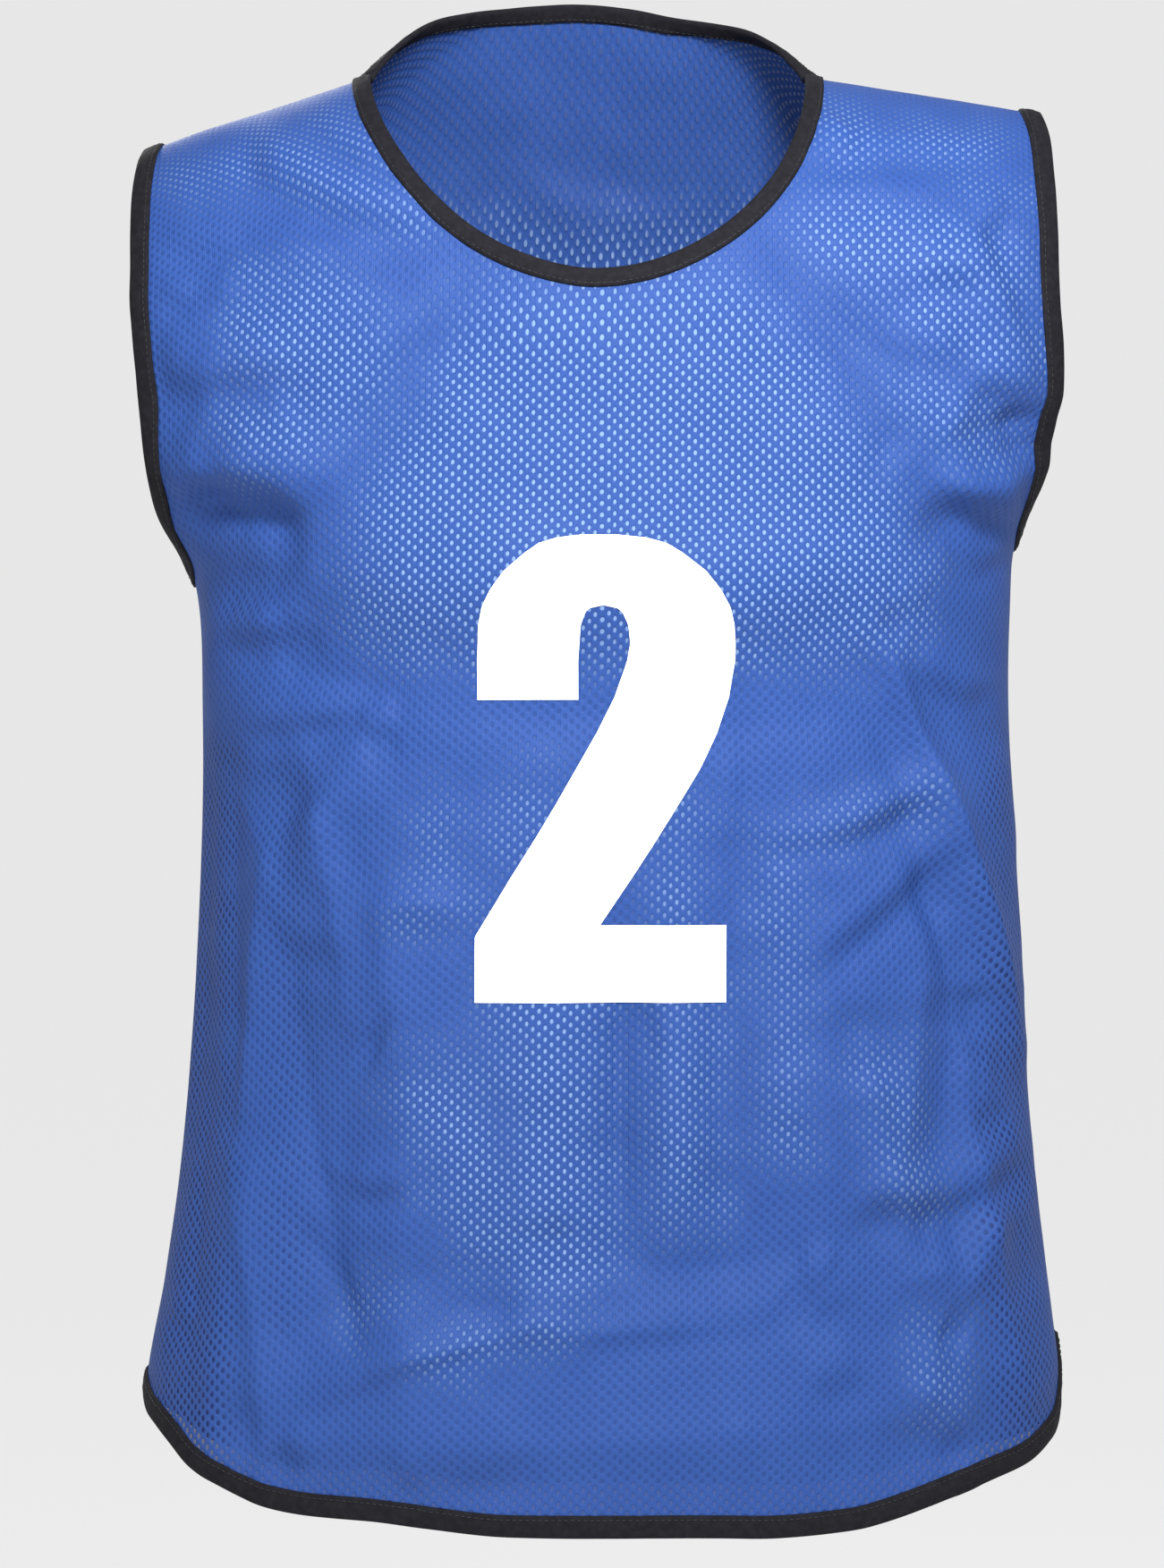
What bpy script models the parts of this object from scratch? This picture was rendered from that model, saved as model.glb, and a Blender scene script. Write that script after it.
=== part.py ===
"""Mesh training bib, filled out as if worn: two cloth panels and their folded edge bindings.

Metres, +Z up, the front faces -Y. The origin lies midway between the neck ends of the two
shoulder seams. Each panel is a grid on a hollow torso-shaped surface. A place on that surface is
given by two numbers: across, from -1 at the left side seam to 1 at the right one, and up, the
height below the shoulder slope and the length over the shoulder above it.
"""
import math

import bpy
from mathutils import Vector

WALL = 0.0015
SEAM_GAP = 0.0003
BINDING_WIDTH = 0.010
BINDING_WALL = 0.0010
BINDING_EASE = 0.0005
HEM_END_SHARE = 0.03
CORNER_SHARE = 0.35
ARM_STEP = 0.0115
SHOULDER_STEP = 0.0107
STEP = 0.0005
WALK_STEPS = 200
EVEN_ROUNDS = 30
SEAM_COUNT = 14
ARM_COUNT = 14
SHOULDER_COUNT = 7

HEM_HEIGHT = -0.735
# across, rise above the hem's lowest point: a shirt tail that turns up at the side seams
HEM_LINE = (
    (-1.00, 0.0640), (-0.90, 0.0550), (-0.80, 0.0485), (-0.72, 0.0405), (-0.64, 0.0298),
    (-0.56, 0.0220), (-0.48, 0.0138), (-0.40, 0.0102), (-0.28, 0.0083), (-0.20, 0.0050),
    (-0.12, 0.0018), (-0.04, 0.0010), (0.12, 0.0008), (0.20, 0.0004), (0.28, 0.0020),
    (0.34, 0.0045), (0.44, 0.0128), (0.52, 0.0193), (0.60, 0.0251), (0.72, 0.0320),
    (0.80, 0.0388), (0.88, 0.0455), (0.93, 0.0545), (1.00, 0.0860),
)
SHOULDER_START = -0.150
SHOULDER_ARC = 0.200
SHOULDER_TOP = SHOULDER_START + SHOULDER_ARC
SHOULDER_ROUNDING = 0.06
SHOULDER_LEFT = {"crown": 0.0255, "slope": 0.348}
SHOULDER_RIGHT = {"crown": 0.0101, "slope": 0.166}
NECK_CENTRE = -0.007
NECK_HALF_WIDTH = 0.112
FRONT_NECK_DROP = 0.1085
NECK_POINTEDNESS_LEFT = 1.72
NECK_POINTEDNESS_RIGHT = 2.0
NECK_END_PULL = 8
BACK_NECK_TURN = math.radians(55)
BACK_NECK_LIFT = 0.057
BACK_NECK_REACH = 1.12 * NECK_HALF_WIDTH
BACK_NECK_SPREAD = 0.07
BACK_NECK_FLATNESS = 2.4
BACK_NECK_FADE = 3
BACK_NECK_EDGE = 3
FOLD_FADE_ACROSS = 0.25
FOLD_FADE_UP = 0.03
FOLD_RUN_OUT = 0.2
SQUARENESS = 2.3

MESH_BLUE = (0.085, 0.190, 0.560)
MESH_ROUGHNESS = 0.60
TAPE_BLACK = (0.028, 0.026, 0.032)
TAPE_ROUGHNESS = 0.75

FRONT = {"name": "front_panel", "face": -1.0, "depth": 3, "lift": 0.0,
         "hem_count": 40, "neck_count": 26, "neck_step": 0.013}
BACK = {"name": "back_panel", "face": 1.0, "depth": 4, "lift": BACK_NECK_LIFT,
        "hem_count": 34, "neck_count": 20, "neck_step": 0.0087}

# up, left half width, right half width, depth in front, depth behind
SECTIONS = (
    (-0.740, 0.2390, 0.2375, 0.118, 0.110),
    (-0.668, 0.2335, 0.2345, 0.118, 0.109),
    (-0.613, 0.2236, 0.2290, 0.117, 0.107),
    (-0.540, 0.2144, 0.2203, 0.116, 0.105),
    (-0.430, 0.2070, 0.2143, 0.117, 0.103),
    (-0.330, 0.2047, 0.2093, 0.121, 0.105),
    (-0.261, 0.2084, 0.2100, 0.122, 0.108),
    (-0.234, 0.2250, 0.2145, 0.121, 0.110),
    (-0.205, 0.2450, 0.2350, 0.120, 0.111),
    (-0.170, 0.2600, 0.2540, 0.118, 0.112),
    (-0.110, 0.2700, 0.2660, 0.115, 0.112),
    (0.060, 0.2720, 0.2680, 0.112, 0.110),
)

# height and half width of the cloth's edge, from the armpit to the shoulder tip
ARMHOLE_LEFT = (
    (-0.2610, 0.2084), (-0.2460, 0.2150), (-0.2285, 0.2235), (-0.2105, 0.2276), (-0.1840, 0.2312),
    (-0.1480, 0.2339), (-0.1120, 0.2359), (-0.0650, 0.2372), (-0.0450, 0.2359), (-0.0342, 0.2325),
)
ARMHOLE_RIGHT = (
    (-0.2340, 0.2145), (-0.2230, 0.2180), (-0.2100, 0.2232), (-0.1927, 0.2274), (-0.1570, 0.2312),
    (-0.1210, 0.2297), (-0.0840, 0.2290), (-0.0550, 0.2285), (-0.0350, 0.2273), (-0.0190, 0.2240),
)

# millimetres: the crease's two ends (x, z), its bow, its half width, its height (minus is a trough)
FRONT_FOLDS = (
    (-212, -204, -139, -209, 4, 15, 6.0),
    (-214, -219, -146, -229, -5, 14, -8.0),
    (-188, -284, -150, -258, 4, 14, 4.0),
    (-219, -91, -86, -102, 6, 18, -4.0),
    (-166, -36, -108, -69, 0, 13, 4.0),
    (-170, -50, -94, -80, 0, 13, -4.0),
    (-72, -120, -134, -218, -8, 24, -3.0),
    (-192, -342, -161, -442, 3, 15, 4.0),
    (-126, -338, -161, -442, -3, 15, 3.0),
    (-161, -442, -59, -420, 4, 14, 3.5),
    (-166, -451, -112, -500, 0, 15, -3.0),
    (-163, -524, -123, -635, 3, 18, -4.0),
    (-108, -431, -94, -631, 0, 16, 3.0),
    (-50, -564, -50, -640, 0, 34, -4.0),
    (-134, -666, -28, -631, -5, 16, 3.0),
    (-28, -631, 101, -623, 3, 16, 3.0),
    (8, -373, 8, -573, 3, 20, -4.0),
    (43, -471, 43, -573, 0, 18, 4.0),
    (74, -351, 74, -529, 3, 18, -3.0),
    (92, -400, 92, -542, 0, 15, 3.0),
    (103, -58, 212, -50, 3, 15, -3.0),
    (92, -85, 181, -151, -12, 20, -5.0),
    (88, -98, 150, -209, -8, 20, -4.0),
    (172, -167, 216, -213, 4, 20, -6.0),
    (150, -200, 212, -216, 4, 15, 6.0),
    (167, -223, 207, -232, -3, 14, -6.0),
    (145, -275, 194, -320, 3, 18, -4.0),
    (145, -293, 201, -475, 4, 15, 5.0),
    (105, -451, 167, -400, 4, 14, 3.0),
    (159, -440, 145, -555, 3, 16, 4.0),
    (128, -571, 203, -566, -6, 16, -6.0),
    (179, -573, 179, -640, 0, 14, -4.0),
    (167, -626, 79, -684, 3, 18, 4.0),
    (-190, -360, -170, -684, -3, 16, -4.0),
)
BACK_FOLDS = (
    (-205, -190, -110, -165, 6, 20, 5.0),
    (-200, -225, -120, -235, -5, 18, -6.0),
    (110, -160, 200, -200, -5, 20, 5.0),
    (120, -215, 195, -235, -5, 18, -6.0),
    (-150, -60, -60, -110, -8, 22, -4.0),
    (70, -100, 160, -55, -6, 22, -4.0),
    (-40, -40, 45, -55, -10, 18, -3.0),
    (-60, -240, -85, -520, 6, 26, 4.0),
    (-15, -330, -20, -640, -5, 24, -4.0),
    (50, -260, 80, -560, 5, 26, 4.0),
    (120, -400, 130, -680, -4, 22, -4.0),
    (-130, -420, -140, -690, 4, 22, -4.0),
    (-185, -300, -110, -380, 6, 18, 4.0),
    (185, -290, 120, -390, -6, 18, 4.0),
    (-80, -655, 60, -640, 6, 20, 3.0),
)


def smooth_step(value):
    value = min(1.0, max(0.0, value))
    return value * value * (3.0 - 2.0 * value)


def read_table(rows, key, column):
    """Reads a column between its rows with a smooth curve through them."""
    index = 0
    while index < len(rows) - 2 and key > rows[index + 1][0]:
        index += 1
    low, high = rows[index], rows[index + 1]
    before, after = rows[max(index - 1, 0)], rows[min(index + 2, len(rows) - 1)]
    span = high[0] - low[0]
    slope_low = (high[column] - before[column]) / (high[0] - before[0]) * span
    slope_high = (after[column] - low[column]) / (after[0] - low[0]) * span
    t = min(1.0, max(0.0, (key - low[0]) / span))
    return ((2 * t**3 - 3 * t**2 + 1) * low[column] + (t**3 - 2 * t**2 + t) * slope_low
            + (3 * t**2 - 2 * t**3) * high[column] + (t**3 - t**2) * slope_high)


def shoulder_line(x):
    """Height of the shoulder seam, and its smooth continuation over the neck."""
    spread = math.hypot(x, SHOULDER_ROUNDING) - SHOULDER_ROUNDING
    left = SHOULDER_LEFT["crown"] - SHOULDER_LEFT["slope"] * spread
    right = SHOULDER_RIGHT["crown"] - SHOULDER_RIGHT["slope"] * spread
    share = smooth_step((x + NECK_HALF_WIDTH) / (2 * NECK_HALF_WIDTH))
    return left + (right - left) * share


def neck_lift(panel, x, turn):
    """The back of the neck stands higher than the shoulder seams."""
    if panel["lift"] == 0.0 or turn <= 0.0:
        return 0.0
    ramp = min(1.0, turn / BACK_NECK_TURN)
    past = max(0.0, (turn - BACK_NECK_TURN) / (math.pi / 2 - BACK_NECK_TURN))
    reach = BACK_NECK_REACH + BACK_NECK_SPREAD * (1.0 - ramp)
    ratio = min(1.0, abs(x - NECK_CENTRE) / reach)
    return panel["lift"] * ramp**2 * (1.0 - past**BACK_NECK_FADE) * (1.0 - ratio**BACK_NECK_FLATNESS)


def half_width(up, side):
    return read_table(SECTIONS, up, 1 if side < 0 else 2)


def smooth_place(panel, across, up):
    """A point of the torso form, before its folds."""
    angle = across * math.pi / 2
    power = 2.0 / SQUARENESS
    turn = max(0.0, (up - SHOULDER_START) / SHOULDER_ARC * math.pi / 2)
    x = math.copysign(abs(math.sin(angle)) ** power, across) * half_width(up, across)
    depth = read_table(SECTIONS, up, panel["depth"])
    y = panel["face"] * depth * max(0.0, math.cos(angle)) ** power * max(0.0, math.cos(turn))
    z = up
    if turn > 0.0:
        z = SHOULDER_START + (shoulder_line(x) - SHOULDER_START) * math.sin(turn)
    return Vector((x, y, z + neck_lift(panel, x, turn)))


def across_of(x, up):
    ratio = min(1.0, abs(x) / half_width(up, x))
    return math.copysign(math.asin(ratio ** (SQUARENESS / 2)) / (math.pi / 2), x)


def up_of(x, height):
    if height <= SHOULDER_START:
        return height
    ratio = (height - SHOULDER_START) / (shoulder_line(x) - SHOULDER_START)
    return SHOULDER_START + SHOULDER_ARC * math.asin(min(1.0, ratio)) / (math.pi / 2)


def fold_height(folds, place):
    """Sum of the creases at a point, each a soft ridge or trough that dies out at its ends."""
    total = 0.0
    for x1, z1, x2, z2, bow, width, height in folds:
        start = Vector((x1, z1)) / 1000
        run = Vector((x2, z2)) / 1000 - start
        offset = Vector((place.x, place.z)) - start
        along = offset.dot(run) / run.length_squared
        if -FOLD_RUN_OUT < along < 1 + FOLD_RUN_OUT:
            inside = 4 * along * (1 - along)
            aside = (run.x * offset.y - run.y * offset.x) / run.length - bow / 1000 * inside
            from_start = (along + FOLD_RUN_OUT) / (2 * FOLD_RUN_OUT)
            from_end = (1 + FOLD_RUN_OUT - along) / (2 * FOLD_RUN_OUT)
            ends = smooth_step(from_start) * smooth_step(from_end)
            total += height / 1000 * ends * math.exp(-((aside / (width / 1000)) ** 2))
    return total


def surface_frame(panel, across, up):
    """The surface's two directions and its outward normal at a place."""
    here_up = min(up, SHOULDER_TOP - STEP)
    here_across = max(-1 + STEP, min(1 - STEP, across))
    side = (smooth_place(panel, here_across + STEP, here_up)
            - smooth_place(panel, here_across - STEP, here_up)) / (2 * STEP)
    rise = (smooth_place(panel, here_across, here_up + STEP)
            - smooth_place(panel, here_across, here_up - STEP)) / (2 * STEP)
    normal = side.cross(rise) * -panel["face"]
    return side, rise, normal.normalized()


def cloth_place(panel, folds, across, up):
    """A point of the cloth's middle surface, with folds that fade out at the seams."""
    place = smooth_place(panel, across, up)
    beside = smooth_step((1 - abs(across)) / FOLD_FADE_ACROSS)
    fade = beside * smooth_step((SHOULDER_TOP - up) / FOLD_FADE_UP)
    if fade > 0.0:
        normal = surface_frame(panel, across, up)[2]
        place += normal * fold_height(folds, place) * fade
    place.y += panel["face"] * SEAM_GAP / 2
    return place


def spaced(count, total, end_step):
    """Distances along a line, even but for its first and last steps."""
    middle = count - 2
    step = (total - 2 * end_step) / middle
    return [0.0] + [end_step + step * k for k in range(middle + 1)] + [total]


def even_walk(panel, route, count, end_step=BINDING_WIDTH):
    """Places along a route, spaced by its real length on the cloth."""
    fine = [route(k / WALK_STEPS) for k in range(WALK_STEPS + 1)]
    points = [smooth_place(panel, *spot) for spot in fine]
    lengths = [0.0]
    for one, two in zip(points, points[1:]):
        lengths.append(lengths[-1] + (two - one).length)
    spots = []
    for wanted in spaced(count, lengths[-1], end_step):
        k = 0
        while k < WALK_STEPS - 1 and lengths[k + 1] < wanted:
            k += 1
        share = (wanted - lengths[k]) / (lengths[k + 1] - lengths[k])
        spots.append(tuple(a + (b - a) * share for a, b in zip(fine[k], fine[k + 1])))
    return spots


def hem_route(share):
    across = 2 * share - 1
    return across, HEM_HEIGHT + read_table(HEM_LINE, across, 1)


def seam_route(side):
    """Straight up the side, from the hem to the armpit."""
    hem_end = hem_route(0.0 if side < 0 else 1.0)[1]
    armpit = (ARMHOLE_LEFT if side < 0 else ARMHOLE_RIGHT)[0][0]
    return lambda share: (side, hem_end + (armpit - hem_end) * share)


def armhole_route(side):
    rows = ARMHOLE_LEFT if side < 0 else ARMHOLE_RIGHT

    def route(share):
        height = rows[0][0] + (rows[-1][0] - rows[0][0]) * share
        x = side * read_table(rows, height, 1)
        if share == 0.0:
            return side, height
        up = SHOULDER_TOP if share == 1.0 else up_of(x, height)
        return across_of(x, up), up
    return route


def shoulder_route(side):
    tip = side * (ARMHOLE_LEFT if side < 0 else ARMHOLE_RIGHT)[-1][1]
    neck = NECK_CENTRE + side * NECK_HALF_WIDTH
    return lambda share: (across_of(tip + (neck - tip) * share, SHOULDER_TOP), SHOULDER_TOP)


def front_neck_route(share):
    """A deep scoop, more pointed than an ellipse on its left."""
    angle = math.pi * (1 - share)
    power = NECK_POINTEDNESS_LEFT if share < 0.5 else NECK_POINTEDNESS_RIGHT
    aside = math.copysign(abs(math.cos(angle)) ** (2 / power), math.cos(angle))
    x = NECK_CENTRE + NECK_HALF_WIDTH * aside
    ratio = min(1.0, abs(aside))
    height = -FRONT_NECK_DROP * (1 - ratio**power) ** (1 / power)
    up = up_of(x, height + shoulder_line(x) * ratio**NECK_END_PULL)
    return across_of(x, up), up


def back_neck_route(share):
    """A shallow arch that turns less far over the shoulder at its middle."""
    angle = math.pi * (1 - share)
    x = NECK_CENTRE + NECK_HALF_WIDTH * math.cos(angle)
    ratio = abs(math.cos(angle))
    turn = BACK_NECK_TURN + (math.pi / 2 - BACK_NECK_TURN) * ratio**BACK_NECK_EDGE
    up = SHOULDER_START + SHOULDER_ARC * turn / (math.pi / 2)
    return across_of(x, up), up


def step_in(panel, spot, direction, distance):
    """Moves a place along the cloth by a direction in space."""
    side, rise, _ = surface_frame(panel, *spot)
    a, b, c = side.dot(side), side.dot(rise), rise.dot(rise)
    p, q = direction.dot(side) * distance, direction.dot(rise) * distance
    scale = a * c - b * b
    return spot[0] + (p * c - q * b) / scale, spot[1] + (q * a - p * b) / scale


def inward(panel, before, spot, after):
    """Place one binding width inside the edge, mitred between the edge's two directions."""
    normal = surface_frame(panel, *spot)[2]
    here = smooth_place(panel, *spot)
    first = (here - smooth_place(panel, *before)).normalized()
    second = (smooth_place(panel, *after) - here).normalized()
    left = (normal.cross(first) * -panel["face"]).normalized()
    right = (normal.cross(second) * -panel["face"]).normalized()
    mitre = (left + right) / (1 + left.dot(right))
    return step_in(panel, spot, mitre, BINDING_WIDTH)


def panel_spots(panel):
    """Places of the panel's grid: its edge, a ring one binding inside, and an even fill."""
    neck_route = front_neck_route if panel["face"] < 0 else back_neck_route
    hem = even_walk(panel, hem_route, panel["hem_count"])
    sides = {}
    for side in (-1, 1):
        seam = even_walk(panel, seam_route(side), SEAM_COUNT)
        sides[side] = seam + even_walk(panel, armhole_route(side), ARM_COUNT, ARM_STEP)[1:]
    left = even_walk(panel, shoulder_route(-1), SHOULDER_COUNT, SHOULDER_STEP)
    right = even_walk(panel, shoulder_route(1), SHOULDER_COUNT, SHOULDER_STEP)
    neck = even_walk(panel, neck_route, panel["neck_count"], panel["neck_step"])
    top = left + neck[1:-1] + right[::-1]
    wide, tall = len(hem) - 1, len(sides[-1]) - 1
    grid = [[None] * (tall + 1) for _ in range(wide + 1)]
    for i in range(wide + 1):
        grid[i][0], grid[i][tall] = hem[i], top[i]
    for j in range(1, tall):
        grid[0][j], grid[wide][j] = sides[-1][j], sides[1][j]
    for i in range(2, wide - 1):
        grid[i][1] = inward(panel, grid[i - 1][0], grid[i][0], grid[i + 1][0])
        grid[i][tall - 1] = inward(panel, grid[i + 1][tall], grid[i][tall], grid[i - 1][tall])
    for j in range(2, tall - 1):
        grid[1][j] = inward(panel, grid[0][j + 1], grid[0][j], grid[0][j - 1])
        grid[wide - 1][j] = inward(panel, grid[wide][j - 1], grid[wide][j], grid[wide][j + 1])
    for i, j, di, dj in ((0, 0, 1, 1), (wide, 0, -1, 1), (0, tall, 1, -1), (wide, tall, -1, -1)):
        corner, along, beside = grid[i][j], grid[i + di][j], grid[i][j + dj]
        grid[i + di][j + dj] = (along[0] + beside[0] - corner[0], along[1] + beside[1] - corner[1])
    fill_grid(grid, wide, tall)
    return grid


def fill_grid(grid, wide, tall):
    """Blends the inner ring over the middle of the grid, then evens it out."""
    for i in range(2, wide - 1):
        for j in range(2, tall - 1):
            f, g = (i - 1) / (wide - 2), (j - 1) / (tall - 2)
            spot = []
            for k in (0, 1):
                low, high = grid[i][1][k], grid[i][tall - 1][k]
                left, right = grid[1][j][k], grid[wide - 1][j][k]
                corners = ((1 - f) * (1 - g) * grid[1][1][k] + f * (1 - g) * grid[wide - 1][1][k]
                           + (1 - f) * g * grid[1][tall - 1][k] + f * g * grid[wide - 1][tall - 1][k])
                spot.append((1 - g) * low + g * high + (1 - f) * left + f * right - corners)
            grid[i][j] = tuple(spot)
    for _ in range(EVEN_ROUNDS):
        before = [row[:] for row in grid]
        for i in range(2, wide - 1):
            for j in range(2, tall - 1):
                near = (before[i - 1][j], before[i + 1][j], before[i][j - 1], before[i][j + 1])
                grid[i][j] = tuple(sum(spot[k] for spot in near) / 4 for k in (0, 1))


def material(name, colour, roughness):
    finish = bpy.data.materials.new(name)
    finish.use_nodes = True
    shader = finish.node_tree.nodes["Principled BSDF"]
    shader.inputs["Base Color"].default_value = (*colour, 1.0)
    shader.inputs["Roughness"].default_value = roughness
    shader.inputs["Metallic"].default_value = 0.0
    return finish


def cloth_object(name, points, faces, finish, wall, collection):
    """An open sheet given its wall with Solidify."""
    mesh = bpy.data.meshes.new(name)
    mesh.from_pydata([tuple(point) for point in points], [], faces)
    mesh.materials.append(finish)
    mesh.shade_smooth()
    sheet = bpy.data.objects.new(name, mesh)
    collection.objects.link(sheet)
    solid = sheet.modifiers.new("Wall", "SOLIDIFY")
    solid.thickness = wall
    solid.offset = 0.0
    facets = sheet.modifiers.new("Facets", "TRIANGULATE")
    facets.quad_method = "SHORTEST_DIAGONAL"
    return sheet


def make_panel(panel, folds, finish, collection):
    """Builds the panel's sheet and returns its grid of points and normals for the bindings."""
    spots = panel_spots(panel)
    wide, tall = len(spots) - 1, len(spots[0]) - 1
    points, faces = [], []
    for i in range(wide + 1):
        for j in range(tall + 1):
            points.append(cloth_place(panel, folds, *spots[i][j]))
    for i in range(wide):
        for j in range(tall):
            a = i * (tall + 1) + j
            face = (a, a + tall + 1, a + tall + 2, a + 1)
            faces.append(face if panel["face"] < 0 else face[::-1])
    sheet = cloth_object(panel["name"], points, faces, finish, WALL, collection)
    normals = [vertex.normal.copy() for vertex in sheet.data.vertices]
    for k, point in enumerate(points):
        if abs(point.y) < SEAM_GAP:
            normals[k].y = 0.0
            normals[k].normalize()
    rows = [[(points[i * (tall + 1) + j], normals[i * (tall + 1) + j]) for j in range(tall + 1)]
            for i in range(wide + 1)]
    return rows


def merge(one, two):
    """The shared station where a binding crosses from one panel to the other."""
    return tuple(((a[0] + b[0]) / 2, (a[1] + b[1]).normalized()) for a, b in zip(one, two))


def binding(name, stations, closed, finish, collection):
    """A folded strip: outer leaf, fold round the cloth's edge, inner leaf."""
    spread = WALL / 2 + BINDING_EASE + BINDING_WALL / 2
    points, faces = [], []
    for (edge, edge_normal), (inner, inner_normal) in stations:
        out = (edge - inner).normalized()
        fold = edge + out * (BINDING_EASE + BINDING_WALL / 2)
        points += [inner + inner_normal * spread, fold + edge_normal * spread,
                   fold - edge_normal * spread, inner - inner_normal * spread]
    count = len(stations)
    for k in range(count if closed else count - 1):
        after = (k + 1) % count
        for part in range(3):
            faces.append((4 * k + part, 4 * k + part + 1, 4 * after + part + 1, 4 * after + part))
    return cloth_object(name, points, faces, finish, BINDING_WALL, collection)


def hem_stations(rows):
    """Along the hem, its ends drawn a little back from the side seams."""
    stations = [(column[0], column[1]) for column in rows]
    for end, beside in ((0, 1), (-1, -2)):
        stations[end] = tuple((a[0].lerp(b[0], HEM_END_SHARE), a[1])
                              for a, b in zip(stations[end], stations[beside]))
    return stations


def armhole_stations(front, back, side):
    """Round the armhole: up the front edge, over the shoulder, down the back edge."""
    loops = []
    for rows in (front, back):
        edge = rows[0] if side < 0 else rows[-1]
        inner = rows[1] if side < 0 else rows[-2]
        tall = len(edge) - 1
        stations = [(edge[SEAM_COUNT], edge[SEAM_COUNT - 1])]
        stations += [(edge[j], inner[j]) for j in range(SEAM_COUNT + 1, tall)]
        stations.append((edge[tall], inner[tall]))
        loops.append(stations)
    one, two = loops
    return ([merge(one[0], two[0])] + one[1:-1] + [merge(one[-1], two[-1])] + two[-2:0:-1])


def between(one, two):
    """An extra station just past a corner of the edge."""
    return one[0].lerp(two[0], CORNER_SHARE), (one[1] + two[1]).normalized()


def neck_stations(front, back):
    """Round the neck: along the front scoop, then back over the arch behind."""
    loops = []
    for rows in (front, back):
        tall = len(rows[0]) - 1
        start, end = SHOULDER_COUNT, len(rows) - 1 - SHOULDER_COUNT
        stations = [(rows[start][tall], rows[start - 1][tall])]
        stations.append((between(rows[start][tall], rows[start + 1][tall]), rows[start][tall - 1]))
        stations += [(rows[i][tall], rows[i][tall - 1]) for i in range(start + 1, end)]
        stations.append((between(rows[end][tall], rows[end - 1][tall]), rows[end][tall - 1]))
        stations.append((rows[end][tall], rows[end + 1][tall]))
        loops.append(stations)
    one, two = loops
    return ([merge(one[0], two[0])] + one[1:-1] + [merge(one[-1], two[-1])] + two[-2:0:-1])


def build():
    for old in list(bpy.data.objects):
        bpy.data.objects.remove(old, do_unlink=True)
    collection = bpy.data.collections.new("mesh_training_bib")
    bpy.context.scene.collection.children.link(collection)
    mesh_cloth = material("blue_mesh", MESH_BLUE, MESH_ROUGHNESS)
    tape = material("black_binding", TAPE_BLACK, TAPE_ROUGHNESS)
    front = make_panel(FRONT, FRONT_FOLDS, mesh_cloth, collection)
    back = make_panel(BACK, BACK_FOLDS, mesh_cloth, collection)
    binding("hem_binding_front", hem_stations(front), False, tape, collection)
    binding("hem_binding_back", hem_stations(back), False, tape, collection)
    for name, side in (("armhole_binding_left", -1), ("armhole_binding_right", 1)):
        binding(name, armhole_stations(front, back, side), True, tape, collection)
    binding("neck_binding", neck_stations(front, back), True, tape, collection)


build()
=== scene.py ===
"""Looks of the mesh training bib: mesh cloth, number, folded bindings, stitches, floor and light.

Metres, +Z up, the front faces -Y, in the frame of the solids. The cloth panels are thin sheets on
the same torso form as the solids, with more creases and with the net's small holes.
"""
import math

import bpy
import numpy as np
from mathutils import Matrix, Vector
from mathutils.bvhtree import BVHTree


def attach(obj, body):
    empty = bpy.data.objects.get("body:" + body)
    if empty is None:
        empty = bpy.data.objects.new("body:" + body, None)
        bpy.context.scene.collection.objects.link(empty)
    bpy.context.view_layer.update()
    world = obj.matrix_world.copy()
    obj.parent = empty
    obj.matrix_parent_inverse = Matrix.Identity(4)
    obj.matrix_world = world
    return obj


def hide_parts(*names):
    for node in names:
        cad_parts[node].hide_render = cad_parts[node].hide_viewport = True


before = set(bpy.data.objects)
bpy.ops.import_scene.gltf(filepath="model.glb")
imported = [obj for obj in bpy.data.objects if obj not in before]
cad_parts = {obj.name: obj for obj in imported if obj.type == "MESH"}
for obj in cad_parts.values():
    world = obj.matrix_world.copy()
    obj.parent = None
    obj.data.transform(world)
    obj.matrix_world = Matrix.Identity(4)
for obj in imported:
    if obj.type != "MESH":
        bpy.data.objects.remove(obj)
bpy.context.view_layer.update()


# Front panel: one piece of royal blue polyester mesh with a scooped neck, armholes and a rounded
# hem. It is sewn to the back at the shoulders and sides. It hangs from the shoulders over the
# chest, so its creases fan out from the armpits and drop towards the hem.
HEM_HEIGHT = -0.735
# across, rise above the hem's lowest point: a shirt tail that turns up at the side seams
HEM_LINE = (
    (-1.00, 0.0640), (-0.90, 0.0550), (-0.80, 0.0485), (-0.72, 0.0405), (-0.64, 0.0298),
    (-0.56, 0.0220), (-0.48, 0.0138), (-0.40, 0.0102), (-0.28, 0.0083), (-0.20, 0.0050),
    (-0.12, 0.0018), (-0.04, 0.0010), (0.12, 0.0008), (0.20, 0.0004), (0.28, 0.0020),
    (0.34, 0.0045), (0.44, 0.0128), (0.52, 0.0193), (0.60, 0.0251), (0.72, 0.0320),
    (0.80, 0.0388), (0.88, 0.0455), (0.93, 0.0545), (1.00, 0.0860),
)
SHOULDER_START = -0.150
SHOULDER_ARC = 0.200
SHOULDER_TOP = SHOULDER_START + SHOULDER_ARC
SHOULDER_ROUNDING = 0.06
SHOULDER_LEFT = {"crown": 0.0255, "slope": 0.348}
SHOULDER_RIGHT = {"crown": 0.0101, "slope": 0.166}
NECK_CENTRE = -0.007
NECK_HALF_WIDTH = 0.112
FRONT_NECK_DROP = 0.1085
NECK_POINTEDNESS_LEFT = 1.72
NECK_POINTEDNESS_RIGHT = 2.0
NECK_END_PULL = 8
BACK_NECK_TURN = math.radians(55)
BACK_NECK_LIFT = 0.057
BACK_NECK_REACH = 1.12 * NECK_HALF_WIDTH
BACK_NECK_SPREAD = 0.07
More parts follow.
